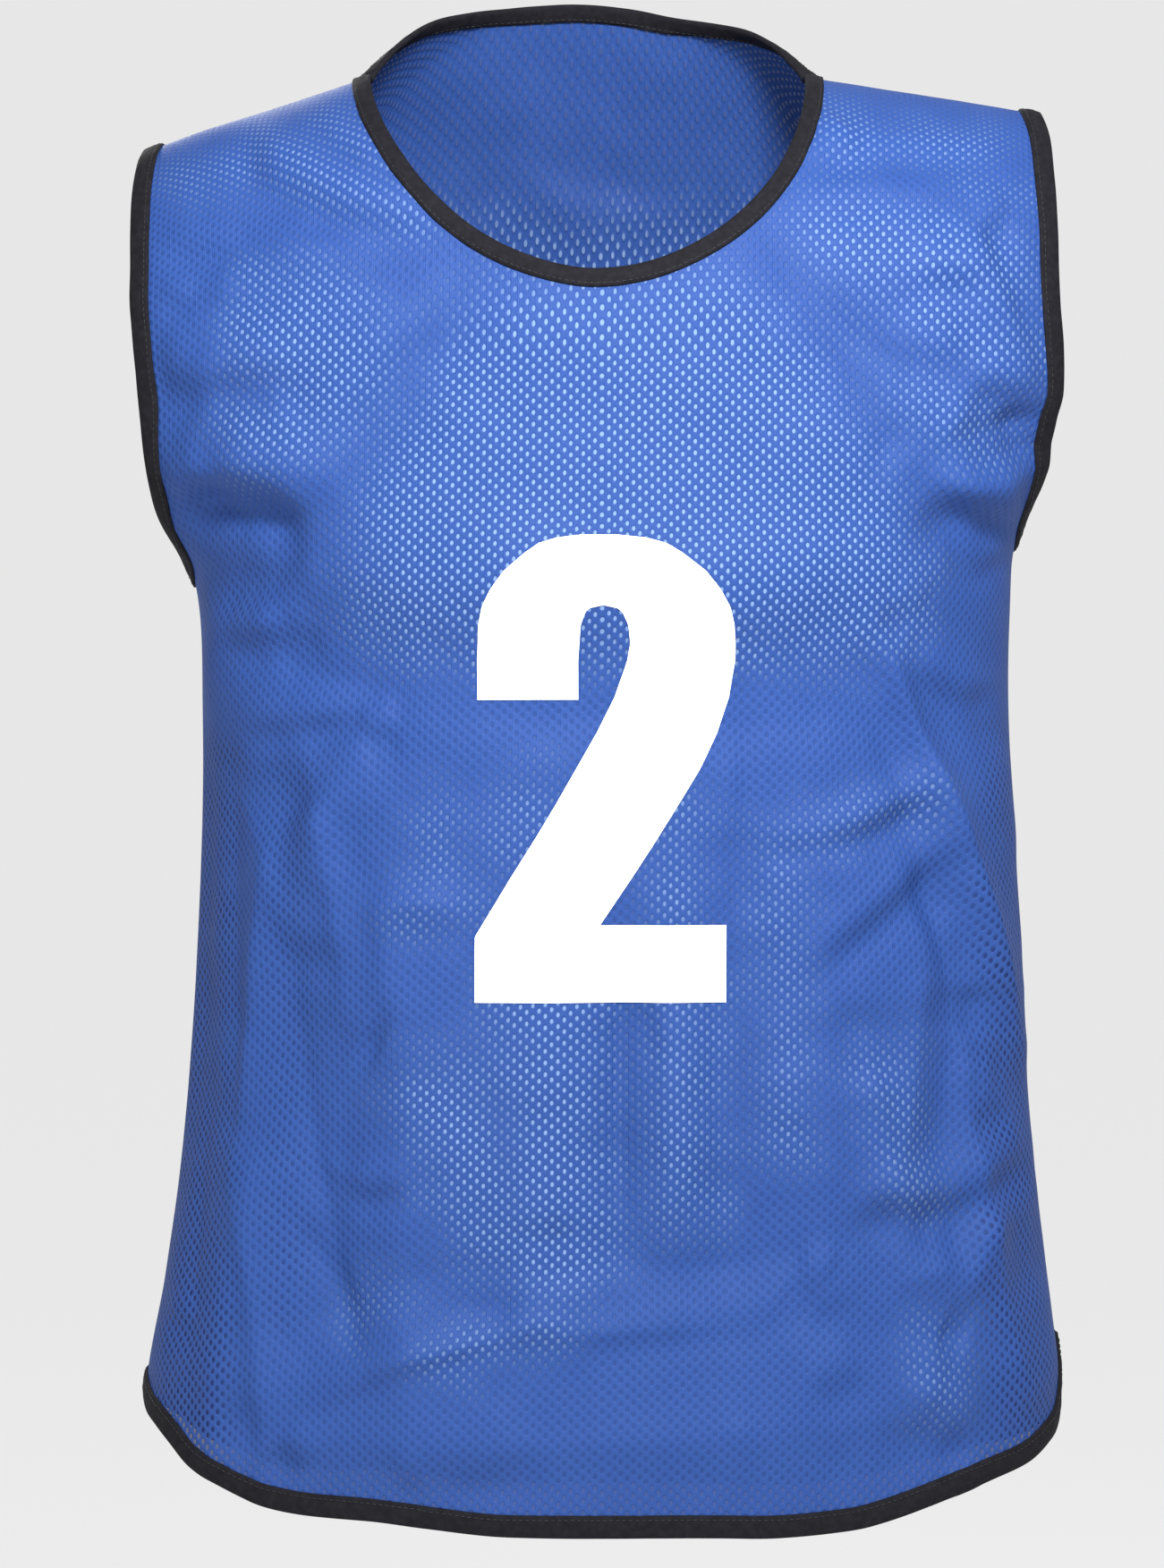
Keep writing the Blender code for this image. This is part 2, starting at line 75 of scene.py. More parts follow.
BACK_NECK_FLATNESS = 2.4
BACK_NECK_FADE = 3
BACK_NECK_EDGE = 3
SQUARENESS = 2.3
STEP = 0.0005

SEAM_STEPS = 170
ARM_STEPS = 120
SHOULDER_STEPS = 40
NECK_STEPS = 180
WIDE_STEPS = 2 * SHOULDER_STEPS + NECK_STEPS
TALL_STEPS = SEAM_STEPS + ARM_STEPS
WALK_STEPS = 2000
EVEN_ROUNDS = 1500
ROUND_STEPS = 160
LEVEL_STEPS = 90
SHY_OF_END = 0.001
TINY = 1e-12

FOLD_FADE_ACROSS = 0.12
FOLD_FADE_UP = 0.03
FOLD_RUN_OUT = 0.3
FOLD_ROUNDING = 0.22
STEP_PEAK = math.sqrt(2 * math.e)
WOBBLE_WAVES = 14
WAVE_SPREAD = (0.7, 1.6)
WOBBLE_LARGE = {"size": 0.070, "height": 0.0006, "seed": 3}
WOBBLE_SMALL = {"size": 0.024, "height": 0.00010, "seed": 8}
SEAM_PINCH = {"depth": 0.0012, "width": 0.0035}

FRONT = {"name": "front_panel", "face": -1.0, "depth": 3, "lift": 0.0}

# up, left half width, right half width, depth in front, depth behind
SECTIONS = (
    (-0.740, 0.2390, 0.2375, 0.118, 0.110),
    (-0.668, 0.2335, 0.2345, 0.118, 0.109),
    (-0.613, 0.2236, 0.2290, 0.117, 0.107),
    (-0.540, 0.2144, 0.2203, 0.116, 0.105),
    (-0.430, 0.2070, 0.2143, 0.117, 0.103),
    (-0.330, 0.2047, 0.2093, 0.121, 0.105),
    (-0.261, 0.2084, 0.2100, 0.122, 0.108),
    (-0.234, 0.2250, 0.2145, 0.121, 0.110),
    (-0.205, 0.2450, 0.2350, 0.120, 0.111),
    (-0.170, 0.2600, 0.2540, 0.118, 0.112),
    (-0.110, 0.2700, 0.2660, 0.115, 0.112),
    (0.060, 0.2720, 0.2680, 0.112, 0.110),
)

# height and half width of the cloth's edge, from the armpit to the shoulder tip
ARMHOLE_LEFT = (
    (-0.2610, 0.2084), (-0.2460, 0.2150), (-0.2285, 0.2235), (-0.2105, 0.2276), (-0.1840, 0.2312),
    (-0.1480, 0.2339), (-0.1120, 0.2359), (-0.0650, 0.2372), (-0.0450, 0.2359), (-0.0342, 0.2325),
)
ARMHOLE_RIGHT = (
    (-0.2340, 0.2145), (-0.2230, 0.2180), (-0.2100, 0.2232), (-0.1927, 0.2274), (-0.1570, 0.2312),
    (-0.1210, 0.2297), (-0.0840, 0.2290), (-0.0550, 0.2285), (-0.0350, 0.2273), (-0.0190, 0.2240),
)

# millimetres: two ends (x, z), bow, half width, then the height of its ridge (minus is a trough)
# and of its step, which stands up on the left of the way from the first end to the second
FRONT_FOLDS = (
    # chest, which stands out over the belly
    (-125, -276, 140, -276, -12, 38, 0, 6.0),
    # wide soft planes between the creases
    (-97, -700, -100, -440, 0, 34, 9.0, 0),
    (-30, -600, -28, -440, 0, 30, 4.5, 0),
    (8, -640, 10, -420, 0, 16, -6.0, 0),
    (70, -610, 66, -400, 0, 18, -4.5, 0),
    (112, -590, 108, -400, 0, 26, 6.0, 0),
    (-160, -520, -165, -360, 0, 24, -6.0, 0),
    (-196, -690, -180, -560, 0, 22, 6.0, 0),
    (170, -560, 180, -440, 0, 20, -6.0, 0),
    (-160, -640, -60, -600, 6, 24, -5.2, 0),
    (10, -600, 110, -590, -6, 22, -6.0, 0),
    (-120, -690, 120, -680, -4, 26, 6.0, 0),
    (-60, -330, 100, -335, 0, 26, -4.5, 0),
    (-176, -300, -100, -320, 0, 20, -6.0, 0),
    (150, -330, 196, -340, 0, 20, -6.0, 0),
    # long creases down both sides, through the belly and above the hem
    (143, -300, 210, -490, 4, 9, 6.5, 0),
    (130, -310, 186, -520, 6, 12, -4.0, 0),
    (176, -440, 206, -640, -4, 10, 5.0, 0),
    (-170, -400, -186, -560, -3, 9, 5.0, 0),
    (-186, -560, -168, -700, 4, 10, 4.5, 0),
    (-205, -420, -206, -650, 0, 10, -4.0, 0),
    (-150, -350, -128, -470, 3, 11, 3.5, 0),
    (-155, -470, -120, -640, -4, 12, -4.0, 0),
    (30, -440, 34, -620, 0, 8, 3.5, 0),
    (54, -420, 60, -600, 0, 9, -3.0, 0),
    (130, -480, 160, -600, -5, 11, 4.5, 0),
    (-130, -655, 60, -632, 6, 9, 3.0, 0),
    # left shoulder
    (-143, -31, -107, -57, -3, 10, 0, 1.7),
    (-166, -38, -108, -68, 0, 19, 3.2, 0),
    (-176, -42, -148, -67, -5, 13, 0, 1.9),
    (-148, -67, -92, -84, -4, 13, 0, 2.3),
    (-216, -93, -186, -94, 1, 11, 0, 1.4),
    (-176, -110, -104, -102, 3, 13, 0, 1.5),
    (-219, -91, -86, -102, 6, 29, -3.2, 0),
    (-190, -121, -190, -103, 0, 10, 2.0, 0),
    (-219, -120, -207, -120, 0, 8, 0, 1.0),
    (-222, -155, -198, -166, -2, 16, 0, 3.1),
    (-198, -166, -160, -158, 2, 14, 0, 2.3),
    (-153, -184, -160, -161, 0, 10, 0, 0.7),
    # left armpit
    (-212, -204, -139, -209, 4, 24, 8.1, 0),
    (-214, -219, -146, -229, -5, 22, -9.8, 0),
    (-213, -222, -193, -213, 2, 14, 0, 3.3),
    (-193, -213, -150, -231, 3, 14, 0, 3.6),
    (-184, -250, -170, -254, 0, 18, 0, 1.4),
    (-198, -270, -165, -272, -6, 13, 0, -1.7),
    (-163, -268, -149, -244, -3, 11, 0, -1.2),
    (-188, -283, -168, -291, -1, 13, 0, 2.3),
    (-168, -291, -148, -283, -1, 13, 0, 2.1),
    (-135, -225, -74, -118, 4, 22, -1.6, 2.2),
    (-147, -197, -94, -141, 3, 14, 0, 1.0),
    # left waist
    (-176, -335, -127, -329, 0, 10, 0, 1.9),
    (-119, -338, -104, -335, 0, 11, 0, 2.0),
    (-155, -395, -127, -334, 0, 14, 0, -1.8),
    (-170, -355, -152, -378, 0, 21, -3.6, 0),
    (-135, -410, -138, -377, 0, 14, 0, 1.9),
    (-188, -369, -160, -438, 3, 14, 3.9, 0),
    (-187, -530, -191, -350, 0, 14, -6.1, 0),
    (-178, -684, -187, -530, 0, 19, -4.9, 0),
    (-112, -425, -77, -422, 2, 10, 3.6, 0),
    (-112, -434, -62, -430, 0, 13, 0, 1.1),
    (-160, -443, -125, -448, 0, 13, 0, 1.2),
    (-118, -489, -109, -493, 0, 14, -3.2, 0),
    (-110, -425, -104, -475, 0, 11, 2.8, 0),
    (-128, -600, -130, -480, 0, 35, -4.9, 0),
    (-176, -549, -176, -590, 0, 11, 2.2, 0),
    # left hip and hem
    (-140, -549, -110, -549, -8, 10, 2.2, 0),
    (-122, -567, -98, -562, 0, 10, 0, 1.9),
    (-148, -587, -125, -640, 3, 11, -4.5, 0),
    (-130, -592, -119, -620, 0, 10, 2.2, 0),
    (-138, -669, -74, -643, 2, 10, 3.2, 1.1),
    (-74, -643, -18, -631, 3, 8, 3.6, 1.1),
    (-72, -620, -45, -624, 0, 19, -3.2, 0),
    (-23, -582, -23, -610, 0, 14, -4.2, 0),
    (-160, -691, -147, -702, 0, 13, 0, 2.5),
    (-192, -688, -174, -695, 0, 16, 0, -2.0),
    (-219, -633, -207, -633, 0, 10, 0, 1.4),
    (-54, -671, -41, -694, 0, 10, 1.8, 0),
    (-84, -717, -34, -717, 0, 11, 0, -1.2),
    (-100, -707, -88, -707, 0, 11, 0, 1.2),
    # middle of the belly
    (8, -575, 8, -471, 0, 10, -4.5, 0),
    (21, -473, 26, -504, 0, 8, -2.0, 0),
    (38, -471, 43, -560, 0, 13, 3.9, 0),
    (73, -428, 72, -326, 0, 11, -2.9, 0),
    (87, -400, 88, -440, 0, 11, 2.6, 0),
    (94, -505, 95, -530, 0, 10, 2.1, 0),
    (62, -345, 64, -385, 0, 10, 2.1, 0),
    (0, -636, 72, -628, 0, 11, 0, 1.1),
    (72, -628, 122, -620, 0, 11, 0, 1.0),
    (58, -682, 72, -680, 0, 10, 1.5, 0),
    # right shoulder and chest
    (104, -52, 130, -32, -4, 10, 0, 1.5),
    (110, -36, 119, -28, 0, 13, 2.0, 0),
    (122, -47, 163, -44, 1, 11, 0, 1.4),
    (163, -44, 200, -48, 1, 11, 0, 1.4),
    (99, -75, 163, -69, 1, 11, 0, 1.0),
    (163, -69, 197, -57, -1, 11, 0, 0.8),
    (136, -84, 163, -97, 3, 11, 0, 0.8),
    (158, -108, 187, -112, 0, 11, 0, 2.3),
    (190, -82, 203, -78, 0, 11, 0, 1.9),
    (214, -151, 186, -85, 0, 11, 3.2, 1.4),
    (84, -93, 148, -151, -8, 21, -5.5, 0),
    (148, -151, 176, -150, 2, 14, 0, 1.4),
    (117, -140, 158, -210, -3, 18, -4.9, 0),
    # right armpit
    (186, -165, 216, -171, 1, 14, 0, 3.3),
    (206, -178, 212, -200, 0, 19, -6.5, 0),
    (163, -197, 184, -173, 0, 10, 2.1, 0),
    (148, -197, 173, -212, -2, 13, 3.6, 0),
    (173, -212, 210, -208, -2, 13, 6.5, 0),
    (166, -221, 205, -230, 2, 14, 0, 3.7),
    (178, -235, 204, -247, 0, 8, 1.5, 0),
    (178, -242, 201, -250, -5, 11, 0, 1.8),
    (143, -273, 155, -279, 0, 13, 0, 1.4),
    # right waist
    (145, -301, 206, -476, 3, 10, 5.2, 0),
    (136, -300, 160, -360, 0, 19, -4.2, 0),
    (160, -303, 190, -320, -3, 11, 0, 2.5),
    (194, -345, 188, -318, 0, 10, 0, 1.4),
    (82, -395, 122, -388, 0, 10, 0, 1.4),
    (122, -388, 161, -369, -1, 11, 0, 3.0),
    (110, -448, 173, -398, 0, 11, 0, 2.5),
    (160, -428, 180, -420, 0, 19, -4.0, 0),
    (161, -438, 148, -555, 2, 14, 5.2, 0),
    (128, -478, 133, -510, 0, 16, -4.0, 0),
    (188, -468, 186, -488, 0, 13, -3.9, 0),
    (180, -506, 197, -507, 0, 13, 2.8, 0),
    (188, -526, 204, -527, 0, 13, 0, 2.0),
    # right hip and hem
    (130, -571, 163, -575, 0, 14, 0, 3.3),
    (163, -575, 209, -551, -3, 14, 0, 3.7),
    (155, -588, 182, -592, 0, 16, -4.2, 0),
    (209, -582, 219, -618, 0, 14, -4.9, 0),
    (199, -578, 180, -620, 0, 13, 5.9, 0),
    (148, -611, 175, -604, 0, 14, 4.9, 0),
    (170, -636, 181, -640, 0, 11, -3.6, 0),
    (167, -644, 162, -670, 0, 13, 4.5, 0),
    (146, -680, 184, -686, 0, 14, 0, 2.5),
    (172, -705, 185, -702, 0, 11, 0, -1.7),
    (95, -607, 108, -613, 0, 13, 0, 2.1),
    (100, -596, 115, -594, 0, 13, 1.8, 0),
    (106, -664, 128, -653, 0, 13, 0, 1.7),
    (206, -648, 218, -676, 0, 13, 2.5, 0),
)

# millimetres: two ends (x, z), radius, strength of the patches of painted light in the holes
FRONT_PAINTED_LIGHT = (
    (-50, -164, 83, -164, 49, 1.0),
    (-68, -222, 101, -222, 58, 1.0),
    (-86, -262, 123, -262, 38, 1.0),
    (-15, -133, 56, -129, 24, 0.9),
    (-152, -138, -117, -173, 33, 0.95),
    (-170, -187, -148, -189, 18, 0.9),
    (114, -91, 190, -107, 22, 0.95),
    (163, -129, 203, -142, 18, 0.9),
    (145, -173, 185, -187, 16, 0.9),
    (-210, -53, -179, -53, 7, 0.7),
    (-170, -40, -99, -78, 10, 0.85),
    (-139, -27, -108, -53, 8, 0.7),
    (112, -27, 125, -40, 11, 0.85),
    (150, -38, 194, -40, 8, 0.7),
    (185, -62, 207, -65, 6, 0.6),
    (-80, -380, -80, -406, 6, 0.8),
    (-37, -375, -37, -393, 13, 0.75),
    (-99, -429, -70, -422, 5, 0.7),
    (36, -373, 36, -431, 9, 0.8),
    (83, -395, 163, -369, 7, 0.7),
    (88, -400, 91, -542, 7, 0.8),
    (139, -502, 154, -564, 12, 0.7),
    (-26, -480, -23, -591, 28, 0.95),
    (-77, -520, -50, -582, 22, 0.9),
    (41, -475, 41, -568, 14, 0.85),
    (-79, -646, -23, -628, 7, 0.8),
    (-121, -624, -103, -620, 5, 0.6),
    (167, -637, 168, -671, 5, 0.8),
)

# the same for the lines inside those patches that have no painted light in their holes
FRONT_PAINTED_LIGHT_GAPS = (
    (-72, -120, -134, -222, 9, 1.0),
    (83, -98, 163, -222, 9, 1.0),
)

# the same for the strips of painted shade, where the holes are painted dark
FRONT_PAINTED_SHADE = (
    (-212, -362, -212, -690, 30, 1.0),
    (-160, -360, -160, -620, 22, 0.5),
    (215, -356, 215, -690, 26, 0.9),
    (-205, -270, -170, -285, 16, 0.5),
    (150, -560, 200, -575, 16, 0.6),
    (-232, -90, -232, -230, 8, 0.6),
)
PATCH_SOFTNESS = 0.050
PATCH_RAGGED = {"size": 0.030, "height": 0.0035, "seed": 21}
# painted shade of this strength in the holes everywhere else
PAINTED_SHADE_ELSEWHERE = 0.28

NET_WIDTH = 0.00615
NET_HEIGHT = 0.00575
NET_SLOPE = 0.11
HOLE_HALF_WIDTH = 0.00080
HOLE_HALF_HEIGHT = 0.00108
HOLE_EDGE = 0.30
# holes grow by this share where the painted shade in them is full
HOLE_GROWTH = 0.22
NET_WARP = {"scale": 22.0, "detail": 1.0, "amount": 0.0009}
BLOTCHES = {"scale": 35.0, "detail": 3.0, "start": 0.3, "end": 0.7}
THREAD_WIDTH = 0.0011
THREAD_SHARE = 0.22
# edge of each hole's dimple in half sizes of a hole, then strength and depth in metres
NET_RELIEF = {"start": 0.7, "end": 1.9, "strength": 0.5, "depth": 0.0007}
# sockets of a mix node that hold its two colours and its result
MIX_COLOURS = (6, 7)
MIX_RESULT = 2
MESH_GROUND = (0.0150, 0.0445, 0.176)
MESH_WORN = (0.0162, 0.0465, 0.181)
# painted light and painted shade in the net's holes, then the share of the shaded holes left open
HOLE_PAINTED_LIGHT = (0.122, 0.196, 0.355)
HOLE_PAINTED_SHADE = (0.004, 0.012, 0.065)
HOLE_CLEAR = 0.15


def smooth_step(value):
    value = np.clip(value, 0.0, 1.0)
    return value * value * (3.0 - 2.0 * value)


def read_table(rows, key, column):
    """Reads a column at each key with a smooth curve through the rows."""
    table = np.array(rows)
    keys, values = table[:, 0], table[:, column]
    order = np.arange(len(keys))
    before, after = np.maximum(order - 1, 0), np.minimum(order + 1, len(keys) - 1)
    slopes = (values[after] - values[before]) / (keys[after] - keys[before])
    low = np.clip(np.searchsorted(keys, key) - 1, 0, len(keys) - 2)
    span = keys[low + 1] - keys[low]
    t = np.clip((key - keys[low]) / span, 0.0, 1.0)
    return ((2 * t**3 - 3 * t**2 + 1) * values[low] + (t**3 - 2 * t**2 + t) * slopes[low] * span
            + (3 * t**2 - 2 * t**3) * values[low + 1] + (t**3 - t**2) * slopes[low + 1] * span)


def shoulder_line(x):
    """Height of the shoulder seam, and its smooth continuation over the neck."""
    spread = np.hypot(x, SHOULDER_ROUNDING) - SHOULDER_ROUNDING
    left = SHOULDER_LEFT["crown"] - SHOULDER_LEFT["slope"] * spread
    right = SHOULDER_RIGHT["crown"] - SHOULDER_RIGHT["slope"] * spread
    share = smooth_step((x + NECK_HALF_WIDTH) / (2 * NECK_HALF_WIDTH))
    return left + (right - left) * share


def neck_lift(panel, x, turn):
    """The back of the neck stands higher than the shoulder seams."""
    raised = np.clip(turn / BACK_NECK_TURN, 0.0, 1.0)
    past = np.maximum(0.0, (turn - BACK_NECK_TURN) / (math.pi / 2 - BACK_NECK_TURN))
    reach = BACK_NECK_REACH + BACK_NECK_SPREAD * (1.0 - raised)
    ratio = np.minimum(1.0, abs(x - NECK_CENTRE) / reach)
    fade = (1.0 - past**BACK_NECK_FADE) * (1.0 - ratio**BACK_NECK_FLATNESS)
    return panel["lift"] * raised**2 * fade


def half_width(up, side):
    return np.where(side < 0, read_table(SECTIONS, up, 1), read_table(SECTIONS, up, 2))


def smooth_place(panel, across, up):
    """Points of the torso form, before any folds."""
    angle = across * math.pi / 2
    power = 2.0 / SQUARENESS
    turn = np.maximum(0.0, (up - SHOULDER_START) / SHOULDER_ARC * math.pi / 2)
    x = np.sign(across) * abs(np.sin(angle)) ** power * half_width(up, across)
    depth = read_table(SECTIONS, up, panel["depth"])
    round_share = np.maximum(0.0, np.cos(angle)) ** power
    y = panel["face"] * depth * round_share * np.maximum(0.0, np.cos(turn))
    over = SHOULDER_START + (shoulder_line(x) - SHOULDER_START) * np.sin(turn)
    z = np.where(turn > 0.0, over, up) + neck_lift(panel, x, turn)
    return np.stack([x, y, z], axis=-1)


def across_of(x, up):
    ratio = np.minimum(1.0, abs(x) / half_width(up, x))
    return np.sign(x) * np.arcsin(ratio ** (SQUARENESS / 2)) / (math.pi / 2)


def up_of(x, height):
    ratio = (height - SHOULDER_START) / (shoulder_line(x) - SHOULDER_START)
    over = SHOULDER_START + SHOULDER_ARC * np.arcsin(np.clip(ratio, 0.0, 1.0)) / (math.pi / 2)
    return np.where(height <= SHOULDER_START, height, over)


def unit(vectors):
    return vectors / np.maximum(np.linalg.norm(vectors, axis=-1, keepdims=True), TINY)


def lengths_along(points):
    """Length from the first point of a line to each of its points."""
    steps = np.linalg.norm(np.diff(points, axis=0), axis=1)
    return np.concatenate([[0.0], np.cumsum(steps)])


def smooth_normal(panel, across, up):
    here_up = np.minimum(up, SHOULDER_TOP - STEP)
    here_across = np.clip(across, -1 + STEP, 1 - STEP)
    side = (smooth_place(panel, here_across + STEP, here_up)
            - smooth_place(panel, here_across - STEP, here_up))
    rise = (smooth_place(panel, here_across, here_up + STEP)
            - smooth_place(panel, here_across, here_up - STEP))
    return unit(np.cross(side, rise) * -panel["face"])


def hem_route(share):
    across = 2 * share - 1
    return across, HEM_HEIGHT + read_table(HEM_LINE, across, 1)


def seam_route(side):
    """Straight up the side, from the hem to the armpit."""
    hem_end = float(hem_route(np.array(0.0 if side < 0 else 1.0))[1])
    armpit = (ARMHOLE_LEFT if side < 0 else ARMHOLE_RIGHT)[0][0]
    return lambda share: (side + 0.0 * share, hem_end + (armpit - hem_end) * share)


def armhole_route(side):
    rows = ARMHOLE_LEFT if side < 0 else ARMHOLE_RIGHT

    def route(share):
        height = rows[0][0] + (rows[-1][0] - rows[0][0]) * share
        x = side * read_table(rows, height, 1)
        up = np.where(share >= 1.0, SHOULDER_TOP, up_of(x, height))
        return np.where(share <= 0.0, side, across_of(x, up)), up
    return route


def shoulder_route(side):
    tip = side * (ARMHOLE_LEFT if side < 0 else ARMHOLE_RIGHT)[-1][1]
    neck = NECK_CENTRE + side * NECK_HALF_WIDTH

    def route(share):
        up = SHOULDER_TOP + 0.0 * share
        return across_of(tip + (neck - tip) * share, up), up
    return route


def front_neck_route(share):
    """A deep scoop, more pointed than an ellipse on its left."""
    angle = math.pi * (1 - share)
    power = np.where(share < 0.5, NECK_POINTEDNESS_LEFT, NECK_POINTEDNESS_RIGHT)
    aside = np.sign(np.cos(angle)) * abs(np.cos(angle)) ** (2 / power)
    x = NECK_CENTRE + NECK_HALF_WIDTH * aside
    ratio = np.minimum(1.0, abs(aside))
    height = -FRONT_NECK_DROP * (1 - ratio**power) ** (1 / power)
    up = up_of(x, height + shoulder_line(x) * ratio**NECK_END_PULL)
    return across_of(x, up), up


def back_neck_route(share):
    """A shallow arch that turns less far over the shoulder at its middle."""
    angle = math.pi * (1 - share)
    x = NECK_CENTRE + NECK_HALF_WIDTH * np.cos(angle)
    turn = BACK_NECK_TURN + (math.pi / 2 - BACK_NECK_TURN) * abs(np.cos(angle)) ** BACK_NECK_EDGE
    up = SHOULDER_START + SHOULDER_ARC * turn / (math.pi / 2)
    return across_of(x, up), up


def even_walk(panel, route, count):
    """Places along a route, evenly spaced by its length on the cloth."""
    across, up = route(np.linspace(0.0, 1.0, WALK_STEPS + 1))
    lengths = lengths_along(smooth_place(panel, across, up))
    wanted = np.linspace(0.0, lengths[-1], count + 1)
    return np.stack([np.interp(wanted, lengths, across), np.interp(wanted, lengths, up)], axis=-1)


def panel_spots(panel):
    """Places of the panel's fine grid, blended in from its four edges and then evened out."""
    neck_route = front_neck_route if panel["face"] < 0 else back_neck_route
    hem = even_walk(panel, hem_route, WIDE_STEPS)
    sides = [np.concatenate([even_walk(panel, seam_route(side), SEAM_STEPS),
                             even_walk(panel, armhole_route(side), ARM_STEPS)[1:]])
             for side in (-1, 1)]
    left_shoulder = even_walk(panel, shoulder_route(-1), SHOULDER_STEPS)
    right_shoulder = even_walk(panel, shoulder_route(1), SHOULDER_STEPS)[::-1]
    neck = even_walk(panel, neck_route, NECK_STEPS)
    top = np.concatenate([left_shoulder, neck[1:-1], right_shoulder])
    f = np.linspace(0.0, 1.0, WIDE_STEPS + 1)[:, None, None]
    g = np.linspace(0.0, 1.0, TALL_STEPS + 1)[None, :, None]
    corners = ((1 - f) * (1 - g) * hem[0] + f * (1 - g) * hem[-1]
               + (1 - f) * g * top[0] + f * g * top[-1])
    grid = ((1 - g) * hem[:, None] + g * top[:, None]
            + (1 - f) * sides[0][None] + f * sides[1][None] - corners)
    for _ in range(EVEN_ROUNDS):
        grid[1:-1, 1:-1] = (grid[:-2, 1:-1] + grid[2:, 1:-1] + grid[1:-1, :-2] + grid[1:-1, 2:]) / 4
    return grid[..., 0], grid[..., 1]


def fold_heights(folds, x, z):
    """Sum of the creases at each point, each one dying out at its ends."""
    total = np.zeros_like(x)
    for x1, z1, x2, z2, bow, width, ridge, step in folds:
        run_x, run_z = (x2 - x1) / 1000, (z2 - z1) / 1000
        off_x, off_z = x - x1 / 1000, z - z1 / 1000
        length = math.hypot(run_x, run_z)
        along = (off_x * run_x + off_z * run_z) / length**2
        aside = (run_x * off_z - run_z * off_x) / length - bow / 1000 * 4 * along * (1 - along)
        from_start = smooth_step((along + FOLD_RUN_OUT) / (2 * FOLD_RUN_OUT))
        from_end = smooth_step((1 + FOLD_RUN_OUT - along) / (2 * FOLD_RUN_OUT))
        share = aside / (width / 1000)
        crest = np.exp(FOLD_ROUNDING - np.hypot(share, FOLD_ROUNDING))
        turn = step * STEP_PEAK * share * np.exp(-(share**2))
        total += from_start * from_end * (ridge * crest + turn) / 1000
    return total


def wobble(x, z, size, height, seed):
    """Smooth uneven waves of about one size, the same in every run."""
    chance = np.random.default_rng(seed)
    total = np.zeros_like(x)
    for _ in range(WOBBLE_WAVES):
        heading, start = chance.uniform(0, 2 * math.pi, 2)
        wave = size * chance.uniform(*WAVE_SPREAD)
        along = x * math.cos(heading) + z * math.sin(heading)
        total += np.sin(2 * math.pi * along / wave + start)
    return height * total / math.sqrt(WOBBLE_WAVES / 2)


def flat_places(panel, across, up):
    """Where points lie in the flat cut: length round from the centre line, then height."""
    rounds = np.linspace(-1.0, 1.0, ROUND_STEPS + 1)
    levels = np.linspace(HEM_HEIGHT, SHOULDER_TOP, LEVEL_STEPS + 1)
    points = smooth_place(panel, *np.meshgrid(rounds, levels))
    steps = np.linalg.norm(np.diff(points, axis=1), axis=2)
    lengths = np.concatenate([np.zeros((len(levels), 1)), np.cumsum(steps, axis=1)], axis=1)
    lengths -= lengths[:, [ROUND_STEPS // 2]]
    column = np.clip((across + 1) / 2 * ROUND_STEPS, 0, ROUND_STEPS - SHY_OF_END)
    row = (up - levels[0]) / (levels[-1] - levels[0]) * LEVEL_STEPS
    row = np.clip(row, 0, LEVEL_STEPS - SHY_OF_END)
    i, j = row.astype(int), column.astype(int)
    f, g = row - i, column - j
    low = lengths[i, j] * (1 - g) + lengths[i, j + 1] * g
    high = lengths[i + 1, j] * (1 - g) + lengths[i + 1, j + 1] * g
    return low * (1 - f) + high * f, up


def cloth_places(panel, folds, across, up):
    """Points of the cloth with its creases, which fade out at the seams, where it is pinched in."""
    points = smooth_place(panel, across, up)
    x, z = points[..., 0], points[..., 2]
    beside = smooth_step((1 - abs(across)) / FOLD_FADE_ACROSS)
    fade = beside * smooth_step((SHOULDER_TOP - up) / FOLD_FADE_UP)
    height = fold_heights(folds, x, z) + wobble(x, z, **WOBBLE_LARGE) + wobble(x, z, **WOBBLE_SMALL)
    round_length = abs(flat_places(panel, across, up)[0])
    seam_length = abs(flat_places(panel, np.sign(across), up)[0])
    from_side = (seam_length - round_length) / SEAM_PINCH["width"]
    from_shoulder = (SHOULDER_TOP - up) / SEAM_PINCH["width"]
    pinch = np.maximum(np.exp(-from_side**2), np.exp(-from_shoulder**2))
    lift = height * fade - SEAM_PINCH["depth"] * pinch
    return points + smooth_normal(panel, across, up) * lift[..., None]


def patch_cover(patches, x, z):
    """How far each point lies inside any patch, from 0 to 1, with ragged soft edges."""
    ragged = wobble(x, z, **PATCH_RAGGED)
    cover = np.zeros_like(x)
    for x1, z1, x2, z2, radius, strength in patches:
        run_x, run_z = (x2 - x1) / 1000, (z2 - z1) / 1000
        off_x, off_z = x - x1 / 1000, z - z1 / 1000
        along = np.clip((off_x * run_x + off_z * run_z) / (run_x**2 + run_z**2), 0.0, 1.0)
        distance = np.hypot(off_x - along * run_x, off_z - along * run_z)
        inside = (radius / 1000 - distance + ragged) / PATCH_SOFTNESS + 0.5
        cover = np.maximum(cover, strength * smooth_step(inside))
    return cover


def grid_faces(wide, tall, flipped=False):
    """Four-sided faces of a grid whose points run up each column in turn."""
    i, j = np.meshgrid(np.arange(wide), np.arange(tall), indexing="ij")
    a = (i * (tall + 1) + j).ravel()
    faces = np.stack([a, a + tall + 1, a + tall + 2, a + 1], axis=1)
    return faces[:, ::-1] if flipped else faces


def add_object(name, data):
    piece = bpy.data.objects.new(name, data)
    bpy.context.scene.collection.objects.link(piece)
    return piece


